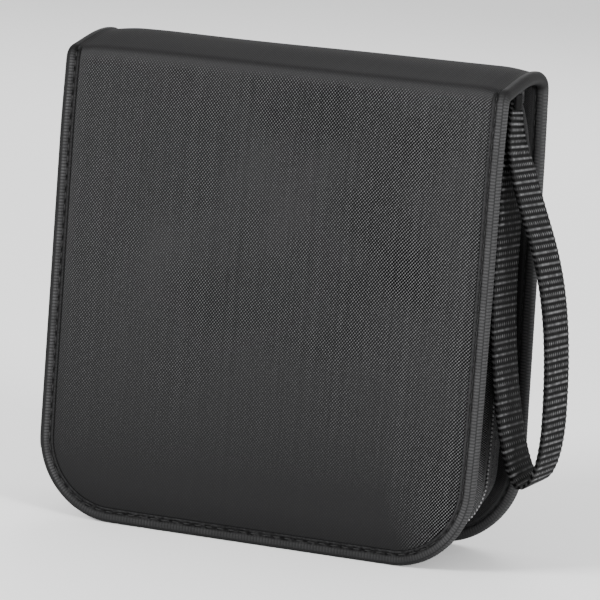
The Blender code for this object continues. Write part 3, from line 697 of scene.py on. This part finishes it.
def add_binding(side, prefix):
    """Ribbed tape folded over the edge, from the crown of the spine at the left round to it at the right.

    The face has one column of ribs and the rolled edge another, half a rib further on. The left edge and the
    ends of the spine are smoother.
    """
    path = Path(CLOTH_TOP, RIB_PITCH / 4)
    profile = tape_profile()
    turned = np.roll(profile[:, :2], -1, axis=0) - np.roll(profile[:, :2], 1, axis=0)
    turned /= np.linalg.norm(turned, axis=1)[:, None]
    around = arc_length(profile[:, :2])
    phase = path.length * math.pi / RIB_PITCH
    face_rib, edge_rib = np.abs(np.cos(phase)), np.abs(np.sin(phase))
    uneven = 0.85 + 0.15 * np.sin(path.length / (2.3 * MM)) * np.sin(path.length / (7.7 * MM))
    over = ease(path.at(0)[:, 1], FOLD_AT - 5 * MM, FOLD_AT + 2 * MM)
    right = ease(path.rows[:, 2], 0.0, 0.9)
    left = ease(-path.rows[:, 2], 0.0, 0.9)
    base = ease(-path.rows[:, 3], 0.5, 1.0)
    face_share = uneven * (1 - 0.85 * over) * (1 - 0.4 * base)
    edge_share = right * (1 - 0.85 * over)
    pull = 0.5 + 0.5 * np.cos(path.length * 2 * math.pi / STITCH_PITCH)
    draws = np.random.default_rng(3)
    columns, tone_with_painted_light = [], []
    for (inset, w, face, edge, tone), (along_inset, along_w) in zip(profile, turned):
        face = face * (1 - left * (inset < 1.9 * MM)) + 0.5 * left * (inset == 3.35 * MM)
        ribbed = face * face_share + edge * edge_share
        rib = (face * face_share * face_rib + edge * edge_share * edge_rib) / np.maximum(ribbed, 1e-6)
        between_columns = edge_share * (abs(inset - 1.1 * MM) < 0.01 * MM) * (w > EDGE_THICKNESS / 2)
        valley = math.exp(-(((inset - STITCH_INSET) / (0.4 * MM)) ** 2)) * (0 if tone == 0.3 else 1)
        lift = (rib - 1) * ribbed * RIB_HEIGHT - between_columns * 0.08 * MM - valley * pull * 0.12 * MM
        xs = path.at(inset + 0 * path.length)
        out_inset, out_w = along_w, -along_inset
        x = xs[:, 0] - path.rows[:, 2] * out_inset * lift
        s = xs[:, 1] - path.rows[:, 3] * out_inset * lift
        columns.append(place(side, x, s, w + out_w * lift))
        # Plain tape is painted darker as shade over the spine's ends, at the bottom, on the left side and in
        # the stitch dimples.
        plain = tone * (1 - 0.35 * over) * (1 - 0.3 * np.maximum(left, base)) - valley * pull * 0.2
        uneven_thread = np.convolve(draws.uniform(-1, 1, len(path.length)), np.ones(3) / 2, "same")
        if 3.2 * MM < inset < 4.9 * MM and w > EDGE_THICKNESS / 2:
            plain = plain + uneven_thread * (0.07 + 0.16 * base) * (1 - over)
        # Rib tops are painted light as highlights and their troughs darker, and the crease between the
        # columns is painted darker as shade.
        shown = plain * (1 - ribbed) + (0.35 + 0.65 * rib) * (1 - 0.25 * base) * ribbed
        tone_with_painted_light.append(np.clip(shown * (1 - 0.2 * between_columns), 0, 1))
    points = np.stack(columns, axis=1)
    uvs = np.stack(np.broadcast_arrays(path.length[:, None], around[None, :]), axis=-1)
    faces, tone_with_painted_light = tube_faces(len(path.length), len(profile)), np.stack(tone_with_painted_light, axis=1)
    piece = make_piece(prefix + "_binding_tape", points, faces, RIBBED, uvs, tone_with_painted_light=tone_with_painted_light)
    fold_blend(piece)
    if side == FRONT:
        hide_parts("front_binding", "spine_binding_left", "spine_binding_right")
    else:
        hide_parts("back_binding")


def stitch_arch(steps, drop):
    """Height of a stitch along its length, as a share of the middle's."""
    return np.sqrt(np.clip(1 - np.linspace(-1, 1, steps) ** 2 * drop, 0, 1))


def add_stitches(side, prefix):
    """Lock stitches through the tape, outside and inside."""
    path = Path(CLOTH_TOP, 0.7 * MM)
    row = path.at(STITCH_INSET)
    length = arc_length(row)
    arch = stitch_arch(6, 0.96)
    many = Many()
    count = int(length[-1] / STITCH_PITCH)
    for k in range(count):
        middle = (k + 0.5) * length[-1] / count
        at = middle + np.linspace(-0.5, 0.5, 6) * STITCH_LENGTH
        x, s = np.interp(at, length, row[:, 0]), np.interp(at, length, row[:, 1])
        for face_w, way in ((3.62 * MM, 1), (0.78 * MM, -1)):
            w = face_w + way * (-0.2 * MM + arch * 0.3 * MM)
            many.add(*tube_rows(place(side, x, s, w), THREAD / 2 * (0.55 + 0.45 * arch), 6))
    piece = many.piece(prefix + "_binding_stitches", THREAD_DARK)
    fold_blend(piece)


def add_linings(side, prefix):
    """Smooth lining cloth inside a cover and under half of the spine."""
    path = Path(CLOTH_TOP, 3 * MM)
    insets = np.array([1.4, 4.6, 5.1, 6.5, 12, 20, 27]) * MM
    heights = np.array([1.3, 1.25, 0.45, 0.1, 0.02, 0, 0]) * MM
    rings = np.stack([path.at(inset) for inset in insets])
    count = rings.shape[1]
    shapes = []
    for thick in (0.0, LINING_THICKNESS * 0.7):
        for ring, height in zip(rings, heights):
            shapes.append(place(side, ring[:, 0], ring[:, 1], height + thick + 0.05 * MM))
    points = np.concatenate(shapes)
    flat = np.concatenate([rings.reshape(-1, 2), rings.reshape(-1, 2)])
    faces = grid_faces(len(insets), count)
    last = (len(insets) - 1) * count
    left, right = leg_stations(path)
    for a, b, c, d in zip(left, left[1:], right[::-1], right[::-1][1:]):
        faces.append((last + a, last + b, last + d, last + c))
    faces.append(tuple(last + k for k in range(left[-1], right[0] + 1)))
    rim = list(range(count)) + [i * count + count - 1 for i in range(1, len(insets))]
    rim += [i * count for i in range(len(insets) - 1, 0, -1)]
    faces = both_sides(faces, rings.size // 2, rim)
    piece = make_piece(prefix + "_lining_cloth", points, faces, LINING_CLOTH, flat)
    fold_blend(piece)
    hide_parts(*(("front_lining", "spine_lining") if side == FRONT else ("back_lining",)))


# zip wall
def cover_seat(path, inset, side):
    """y of a cover's inner face at each station."""
    s = path.at(inset)[:, 1]
    return side * (np.interp(s, PROFILE_AT, PROFILE_LINE[:, 0]) - EDGE_THICKNESS - GAP)


def sweep_piece(name, path, section, material):
    """A section of (inset, y) carried round the wall. Each may be one number or one for each station."""
    columns = []
    for inset, y in section:
        flat = path.at(inset)
        across = np.broadcast_to(np.asarray(y, float), (len(flat),))
        columns.append(np.stack([flat[:, 0] + CASE_X, across, flat[:, 1]], axis=-1))
    ys = [float(np.mean(y)) for _, y in section]
    around = np.concatenate([[0], np.cumsum(np.abs(np.diff(ys)))])
    uvs = np.stack(np.broadcast_arrays(path.length[:, None], around[None, :]), axis=-1)
    faces = tube_faces(len(path.length), len(section))
    return make_piece(name, np.stack(columns, axis=1), faces, material, uvs)


def add_wall(side, prefix):
    """Gusset strip with a soft fold, and woven zip tape stitched over it."""
    path = Path(WALL_TOP, 1.5 * MM)
    tape_inner = WALL_INSET + TAPE_THICKNESS
    outer_face = tape_inner + GAP
    seam = side * (TAPE_HALF_WIDTH - TAPE_SEAM)
    seat = cover_seat(path, outer_face, side)
    shares = np.linspace(0, 1, 9)
    ripple = np.sin(path.length / (7.3 * MM)) * 0.12 * MM + np.sin(path.length / (3.1 * MM) + 1) * 0.05 * MM
    section = []
    for face, way in ((outer_face, 1), (outer_face + GUSSET_THICKNESS * 0.8, -1)):
        for share in shares[::way]:
            bulge = math.sin(share * math.pi) * (0.25 * MM + ripple)
            section.append((face - bulge, seat * (1 - share) + seam * share))
    gusset = sweep_piece(prefix + "_gusset_cloth", path, section, GUSSET_CLOTH)
    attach(gusset, prefix)
    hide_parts(prefix + "_gusset")

    far, near = side * TAPE_HALF_WIDTH, side * TAPE_SLIT
    strip = []
    for share in np.linspace(0, 1, 10):
        y = far + (near - far) * share
        ridge = 0.12 * MM * math.exp(-(((abs(y) - 10.6 * MM) / (0.5 * MM)) ** 2))
        strip.append((WALL_INSET - ridge, y))
    strip += [(tape_inner, near), (tape_inner, far)]
    tape = sweep_piece(prefix + "_zip_tape_cloth", path, strip, TAPE_CLOTH)
    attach(tape, prefix)
    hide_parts(prefix + "_zip_tape")

    many = Many()
    row = Row(Path(WALL_TOP - 2 * MM, 0.5 * MM), WALL_INSET)
    count = int(row.total / TAPE_STITCH_PITCH)
    arch = stitch_arch(5, 0.95)
    for k in range(count):
        at = (k + 0.5) * row.total / count + np.linspace(-1.1, 1.1, 5) * MM
        points = row.points(at, side * (TAPE_HALF_WIDTH - TAPE_SEAM / 2), arch * 0.2 * MM - 0.08 * MM)
        many.add(*tube_rows(points, 0.17 * MM * (0.5 + 0.5 * arch), 5))
    row_piece = many.piece(prefix + "_tape_stitches", THREAD_DARK)
    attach(row_piece, prefix)


# Outline of a zip lip: (inset, distance from the zip's middle line), from the tape's face and the coil's top
LIP_FOOT = ((-0.02, 5.2), (-0.25, 4.9), (-1.2, 3.9))
LIP_TOP = ((-0.12, 3.1), (-0.18, 1.9), (-0.16, 0.95), (-0.05, 0.62), (0.12, 0.58), (0.1, 0.95), (0.08, 3.0))
LIP_UNDER = ((-0.9, 3.6), (-0.02, 4.6))


def add_coil(side, prefix):
    """Half of the zip's coil, with one bent loop of filament for each tooth, and the lip of tape over it."""
    mid = WALL_INSET - GAP - CHAIN_THICKNESS / 2
    row = Row(Path(CHAIN_TOP, 0.4 * MM), mid)
    first = TOOTH_PITCH / 4 if side == FRONT else TOOTH_PITCH * 3 / 4
    many = Many()
    radius = FILAMENT / 2
    height = CHAIN_THICKNESS / 2 - radius
    width = 1.15 * MM
    count = int((row.total - first - width - TOOTH_PITCH / 4) / TOOTH_PITCH) + 1
    tip = -side * (TOOTH_REACH - radius)
    root = side * (CHAIN_HALF_WIDTH - radius)
    loop = np.array(  # along the row in millimetres, depth, height in the coil, and thickness
        [
            (-0.75, root, -0.6, 1.0),
            (-0.5, root, 0.5, 1.0),
            (-0.15, root * 0.72, 1.0, 1.0),
            (0.0, root * 0.3, 1.0, 1.0),
            (0.0, tip * 0.6, 1.0, 1.15),
            (0.0, tip, 0.72, 1.25),
            (0.0, tip * 1.02, 0.0, 1.25),
            (0.0, tip, -0.72, 1.25),
            (0.0, tip * 0.6, -1.0, 1.15),
            (0.0, root * 0.3, -1.0, 1.0),
            (0.15, root * 0.72, -1.0, 1.0),
            (0.5, root, -0.9, 1.0),
            (0.8, root, -0.6, 0.9),
        ]
    )
    for k in range(count):
        middle = first + width / 2 + k * TOOTH_PITCH
        points = row.points(middle + loop[:, 0] * MM, loop[:, 1], loop[:, 2] * height)
        many.add(*tube_rows(points, radius * loop[:, 3], 7))
    piece = many.piece(prefix + "_zip_coil", COIL)
    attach(piece, prefix)
    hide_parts(prefix + "_zip_chain")

    top = mid - CHAIN_THICKNESS / 2
    section = []
    for face, outline in ((WALL_INSET, LIP_FOOT), (top, LIP_TOP), (WALL_INSET, LIP_UNDER)):
        section += [(face + inset * MM, side * y * MM) for inset, y in outline]
    cover = sweep_piece(prefix + "_zip_lip", Path(CHAIN_TOP, 1.2 * MM), section, TAPE_CLOTH)
    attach(cover, prefix)
    # Pale beads along the lip's middle: painted highlights that stand for the glints on the coil's loop
    # heads.
    if side == BACK:
        beads = Many()
        count = int(row.total / COIL_GLINT_PITCH)
        stand = CHAIN_THICKNESS / 2 + np.array([0.02, 0.2, 0.2, 0.02]) * MM
        for k in range(count):
            at = (k + 0.5) * row.total / count + np.linspace(-0.34, 0.34, 4) * MM
            points = row.points(at, side * 0.72 * MM, stand)
            beads.add(*tube_rows(points, np.array([0.16, 0.34, 0.34, 0.16]) * MM, 6))
        bead_row = beads.piece("zip_coil_glint_beads", COIL_GLINT)
        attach(bead_row, prefix)


# strap
STRAP_WIDTH = 22 * MM
STRAP_THICKNESS = 1.5 * MM
STRAP_END_WIDTH = 6 * MM
STRAP_TUCK = 29 * MM  # length over which the rear edge is tucked in towards the sewn ends
STRAP_RIB = 1.95 * MM
STRAP_DOTS = 12  # warp bundles across the webbing
RIB_LEAN = 0.4  # of a rib, at the webbing's edges
LOOP_LOW_HEIGHT = 28.7 * MM
LOOP_REACH = 20.3 * MM
LOOP_REACH_HEIGHT = 50 * MM
LOOP_SHARE_LOW = 0.66
LOOP_LEAVES_HEIGHT = 98.5 * MM
LOOP_JOINS_HEIGHT = FOLD_HEIGHT - 17.5 * MM
STRAP_LOW, STRAP_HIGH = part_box("wrist_strap")
STRAP_X = STRAP_LOW.x + STRAP_THICKNESS / 2
STRAP_TOP = STRAP_HIGH.z


def bezier(p0, p1, p2, p3, steps):
    t = np.arange(steps)[:, None] / steps
    p0, p1, p2, p3 = map(np.array, (p0, p1, p2, p3))
    return p0 * (1 - t) ** 3 + p1 * 3 * t * (1 - t) ** 2 + p2 * 3 * t * t * (1 - t) + p3 * t**3


def strap_line():
    """The webbing's route in x and z, as in the solids, and its arc length."""
    outer_x = STRAP_X + STRAP_THICKNESS + GAP
    leaves = (STRAP_X, LOOP_LEAVES_HEIGHT)
    lowest = (STRAP_X + LOOP_REACH * LOOP_SHARE_LOW, LOOP_LOW_HEIGHT)
    furthest = (STRAP_X + LOOP_REACH, LOOP_REACH_HEIGHT)
    joins = (outer_x, LOOP_JOINS_HEIGHT)
    fall = (LOOP_LEAVES_HEIGHT - LOOP_LOW_HEIGHT) * 0.52
    climb = LOOP_JOINS_HEIGHT - LOOP_REACH_HEIGHT
    bowl = LOOP_REACH_HEIGHT - LOOP_LOW_HEIGHT
    flat = LOOP_REACH * 0.25
    parts = [
        np.array([(STRAP_X, STRAP_TOP)]),
        bezier(leaves, (leaves[0], leaves[1] - fall), (lowest[0] - flat, lowest[1]), lowest, 60),
        bezier(lowest, (lowest[0] + flat, lowest[1]), (furthest[0], furthest[1] - bowl * 0.45), furthest, 40),
        bezier(
            furthest,
            (furthest[0], furthest[1] + climb * 0.65),
            (joins[0] + LOOP_REACH * 0.2, joins[1] - climb * 0.32),
            joins,
            60,
        ),
        np.array([joins, (outer_x, STRAP_TOP)]),
    ]
    line = np.concatenate(parts)
    return arc_length(line), line


def strap_rear(z):
    """Depth of the webbing's rear edge at height z. Its front edge runs straight."""
    tucked = np.maximum(0.0, 1 - (FOLD_HEIGHT - z) / STRAP_TUCK)
    return STRAP_WIDTH / 2 - (STRAP_WIDTH - STRAP_END_WIDTH) * tucked


def add_strap():
    """Ribbed webbing: a narrow smooth rib, then a rib broken into dots by the warp, and so on."""
    along, line = strap_line()
    total = along[-1]
    ribs = round(total / STRAP_RIB)
    at = np.linspace(0, total, ribs * 6 + 1)
    x, z = np.interp(at, along, line[:, 0]), np.interp(at, along, line[:, 1])
    tangent = np.stack([np.gradient(x), np.gradient(z)], axis=1)
    tangent /= np.linalg.norm(tangent, axis=1)[:, None]
    out_x, out_z = -tangent[:, 1], tangent[:, 0]
    rear = strap_rear(z)
    half = STRAP_THICKNESS / 2
    turned = 2 * ease(at, total * 0.4, total * 0.56) - 1  # the rear edge hangs lower on both legs
    draws = np.random.default_rng(7)
    uneven = draws.uniform(0.55, 1.0, (ribs + 2, STRAP_DOTS + 2))
    wander = np.cumsum(draws.normal(0, 0.02, ribs + 2))
    wander -= np.linspace(0, wander[-1], ribs + 2)
    place_in_rib = at / total * ribs
    drift = np.interp(place_in_rib, np.arange(ribs + 2), wander)
    across = np.concatenate([[-1, -0.985], np.linspace(-0.96, 0.96, STRAP_DOTS * 4 + 1), [0.985, 1]])
    section = [(share, 1) for share in across] + [(share, -1) for share in across[::-1]]
    columns, tones_with_painted_light = [], []
    for share, way in section:
        y = -STRAP_WIDTH / 2 + (share + 1) / 2 * (rear + STRAP_WIDTH / 2)
        phase = place_in_rib + 0.1 * share * way + RIB_LEAN * share * turned + drift
        row = np.round(phase)
        off = np.abs(phase - row) * 2
        dotted = (row.astype(int) % 2) == (way < 0)
        dot_at = (share + 1) / 2 * STRAP_DOTS
        dot = abs(math.sin(math.pi * dot_at)) ** 0.8
        selvedge = float(ease(abs(share), 0.82, 0.97))
        spread = uneven[np.clip(row.astype(int), 0, ribs + 1), int(min(dot_at, STRAP_DOTS))]
        tops = np.where(dotted, (0.15 + 0.85 * dot) * (1 - selvedge) + 0.6 * selvedge, 0.75 + 0.25 * dot)
        width = np.where(dotted, 0.78, 0.62)
        height = np.clip(1 - (off / width) ** 2, 0, 1) * tops
        edge = math.sqrt(max(0.0, 1 - max(0.0, (abs(share) - 0.93) / 0.07) ** 2))
        thick = way * (half * (0.3 + 0.7 * edge) - (1 - height) * 0.24 * MM * edge)
        columns.append(np.stack([x + out_x * thick, y, z + out_z * thick], axis=-1))
        # Rib and dot tops are painted light as highlights and the hollows between them dark as shade. The
        # selvedges are painted darker still, as shade.
        shown = height * np.where(dotted & (selvedge < 0.5), 1.25 * dot**2, 1.0)
        tones_with_painted_light.append(np.clip(shown * spread * (1 - 0.35 * selvedge), 0, 1))
    points, tone_with_painted_light = np.stack(columns, axis=1), np.stack(tones_with_painted_light, axis=1)
    piece = make_piece("strap_webbing", points, tube_faces(len(at), len(section)), WEBBING, tone_with_painted_light=tone_with_painted_light)
    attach(piece, "spine")
    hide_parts("wrist_strap")


def add_tuck():
    """The strap's rear edge, rolled under where the webbing narrows towards its sewn ends."""
    outer_x = STRAP_X + STRAP_THICKNESS + GAP
    z = np.linspace(FOLD_HEIGHT - STRAP_TUCK, STRAP_TOP - 0.5 * MM, 40)
    share = np.linspace(0, 1, 40)
    y = strap_rear(z) + 0.2 * MM
    x = np.full(40, outer_x) + 0.35 * MM * np.sin(share * math.pi)
    radius = (0.35 + 0.75 * np.sin(share * math.pi) ** 0.7) * MM
    points, faces = tube_rows(np.stack([x, y, z], axis=1), radius, 12, flat=0.6)
    tone_with_painted_light = np.full(len(points), 0.35)
    piece = make_piece("strap_tuck", points, faces, WEBBING, tone_with_painted_light=tone_with_painted_light)
    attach(piece, "spine")


# block pieces with rounded cloth edges
PILLOW_CUTS = 10


def add_pillow(name, node, body, material, wider=0.0):
    """A soft block with rounded edges that fills a node's box, made wider each way in depth."""
    low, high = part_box(node)
    low.y, high.y = low.y - wider, high.y + wider
    bm = bmesh.new()
    bmesh.ops.create_cube(bm, size=1.0)
    bmesh.ops.subdivide_edges(bm, edges=bm.edges[:], cuts=PILLOW_CUTS, use_grid_fill=True)
    size, middle = high - low, (high + low) / 2
    thin = min(size)
    for vert in bm.verts:
        co = vert.co * 2
        point = []
        for i in range(3):
            rounded = 1 - math.sqrt(max(0, 1 - abs(co[(i + 1) % 3]) ** 8))
            point.append(middle[i] + co[i] * size[i] / 2 * (1 - 0.5 * thin / size[i] * rounded))
        vert.co = Vector(settle(point)[0])
    mesh = bpy.data.meshes.new(name)
    bm.to_mesh(mesh)
    bm.free()
    uv = mesh.uv_layers.new(name="cloth")
    for loop in mesh.loops:
        co = mesh.vertices[loop.vertex_index].co
        uv.data[loop.index].uv = ((co.x + co.y) / MM, co.z / MM)
    mesh.materials.append(material)
    mesh.shade_smooth()
    piece = bpy.data.objects.new(name, mesh)
    bpy.context.scene.collection.objects.link(piece)
    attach(piece, body)
    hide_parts(node)
    return piece


LEAVES = 20
LEAF_DEPTH = 0.7 * MM
LEAF_CORNER = 9 * MM
PAGE_HEAD = 5 * MM  # height of the block in which the leaves are sewn together


def add_pages():
    """Leaves of a felt sheet between two clear pockets."""
    low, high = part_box("sleeve_pages")
    pitch = (high.y - low.y - LEAF_DEPTH) / (LEAVES - 1)
    felt, film = Many(), Many()

    def leaf(many, y0, y1, inset, top_drop, bow):
        """A thin rounded sheet between two depths."""
        xs0, xs1 = low.x + inset, high.x - inset
        z0, z1 = low.z + inset, high.z - top_drop
        outline = [(xs0, z1)]
        for direction in (-1, 1):
            for step in range(6):
                turn = step / 5 if direction < 0 else 1 - step / 5
                angle = turn * math.pi / 2
                x = (xs0 if direction < 0 else xs1) - direction * LEAF_CORNER * (1 - math.cos(angle))
                outline.append((x, z0 + LEAF_CORNER * (1 - math.sin(angle))))
        outline.append((xs1, z1))
        n = len(outline)
        mid_x, mid_z = (xs0 + xs1) / 2, (z0 + z1) / 2
        points, faces = [], []
        for y, sign in ((y0, -1), (y1, 1)):
            for share in (1.0, 0.94, 0.6, 0.25):
                crown = y + bow * (1 - share**2) * sign
                for x, z in outline:
                    points.append((mid_x + (x - mid_x) * share, crown, mid_z + (z - mid_z) * share))
        for layer in range(2):
            offset = layer * 4 * n
            faces += grid_faces(4, n, offset, wrap=True)
            faces.append(tuple(offset + 3 * n + k for k in range(n)))
        for k in range(n):
            j = (k + 1) % n
            faces.append((k, j, 4 * n + j, 4 * n + k))
        many.add(np.array(points), faces)

    for k in range(LEAVES):
        middle = low.y + LEAF_DEPTH / 2 + k * pitch
        leaf(felt, middle - 0.1 * MM, middle + 0.1 * MM, 0, 2 * MM, 0)
        for way in (-1, 1):
            a, b = sorted((middle + way * 0.14 * MM, middle + way * 0.2 * MM))
            leaf(film, a, b, 1.2 * MM, 12 * MM, 0.05 * MM)
    felt_piece = felt.piece("page_felts", FELT)
    film_piece = film.piece("page_pockets", FILM)
    head = add_pillow("page_head", "sleeve_pages", "spine", FELT)
    for vert in head.data.vertices:
        share = (vert.co.z - low.z) / (high.z - low.z)
        vert.co.z = high.z - PAGE_HEAD * (1 - share)
    for piece in (felt_piece, film_piece):
        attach(piece, "spine")


# stage, light and camera
CAMERA_AZIMUTH = 21.97
CAMERA_ELEVATION = 9.24
CAMERA_ROLL = 3.69
CAMERA_DISTANCE = 1.644
CAMERA_TARGET = (-0.00563, 0, 0.07864)
CAMERA_LENS = 300
SENSOR_WIDTH = 36  # in millimetres, as the lens
FLOOR_HALF = 6.0
WORLD_FADE = {"From Min": 0.1, "From Max": 0.9, "To Min": 2.2, "To Max": 0.6}  # light, horizon to zenith
LIGHTS = (  # name, place, target, size and power
    ("key_left", (-0.75, -0.95, 0.62), (0, 0, 0.1), 0.45, 25),
    ("fill_right", (1.5, -0.9, 0.5), (0.02, 0, 0.1), 0.4, 42),
    ("top_rear", (-0.3, 1.2, 0.9), (0, 0, 0.16), 0.7, 8),
)


def add_camera():
    azimuth, elevation, roll = map(math.radians, (CAMERA_AZIMUTH, CAMERA_ELEVATION, CAMERA_ROLL))
    level = math.cos(elevation)
    back = Vector((math.sin(azimuth) * level, -math.cos(azimuth) * level, math.sin(elevation)))
    right = Vector((0, 0, 1)).cross(back).normalized()
    up = back.cross(right)
    turned_right = right * math.cos(roll) + up * math.sin(roll)
    turned_up = up * math.cos(roll) - right * math.sin(roll)
    data = bpy.data.cameras.new("camera")
    data.lens = CAMERA_LENS
    data.sensor_width = SENSOR_WIDTH
    camera = bpy.data.objects.new("camera", data)
    bpy.context.scene.collection.objects.link(camera)
    turn = Matrix((turned_right, turned_up, back)).transposed().to_4x4()
    camera.matrix_world = Matrix.Translation(Vector(CAMERA_TARGET) + back * CAMERA_DISTANCE) @ turn
    bpy.context.scene.camera = camera


def add_area(name, location, target, size, power):
    data = bpy.data.lights.new(name, "AREA")
    data.energy = power
    data.size = size
    light = bpy.data.objects.new(name, data)
    bpy.context.scene.collection.objects.link(light)
    light.location = location
    light.rotation_mode = "QUATERNION"
    light.rotation_quaternion = (Vector(location) - Vector(target)).to_track_quat("Z", "Y")


def add_stage():
    shader = Shader("pale_floor", 0.9)
    shader.color((0.9, 0.9, 0.9, 1.0))
    points = np.array([(-1, -1, 0), (1, -1, 0), (1, 1, 0), (-1, 1, 0)]) * FLOOR_HALF
    floor = make_piece("floor", points, [(0, 1, 2, 3)], shader.material, smooth=False)
    world = bpy.data.worlds.new("studio")
    world.use_nodes = True
    tree = world.node_tree
    background = tree.nodes["Background"]
    direction = tree.nodes.new("ShaderNodeTexCoord")
    split = tree.nodes.new("ShaderNodeSeparateXYZ")
    fade = tree.nodes.new("ShaderNodeMapRange")
    tree.links.new(direction.outputs["Generated"], split.inputs[0])
    tree.links.new(split.outputs[2], fade.inputs["Value"])
    for socket, value in WORLD_FADE.items():
        fade.inputs[socket].default_value = value
    tree.links.new(fade.outputs[0], background.inputs[1])
    background.inputs[0].default_value = (1, 1, 1, 1)
    bpy.context.scene.world = world
    for light in LIGHTS:
        add_area(*light)


METAL_NODES = ("front_top_stop", "back_top_stop", "zip_bottom_stop")
METAL_NODES += ("zip_slider", "zip_slider_inner_wing", "zip_pull")


def build():
    for side, prefix in ((FRONT, "front"), (BACK, "back")):
        for add in (add_shell, add_binding, add_stitches, add_linings, add_wall, add_coil):
            add(side, prefix)
    add_strap()
    add_tuck()
    add_pillow("strap_end", "strap_tab", "spine", END_CLOTH)
    add_pillow("hanger_strip", "page_hanger", "spine", LINING_CLOTH)
    for name in ("left", "right"):
        add_pillow("zip_end_" + name, "zip_tab_" + name, "spine", GUSSET_CLOTH, TAB_SPREAD)
    add_pages()
    for name in METAL_NODES:
        NODES[name].data.materials[0] = METAL
    add_stage()
    add_camera()


build()
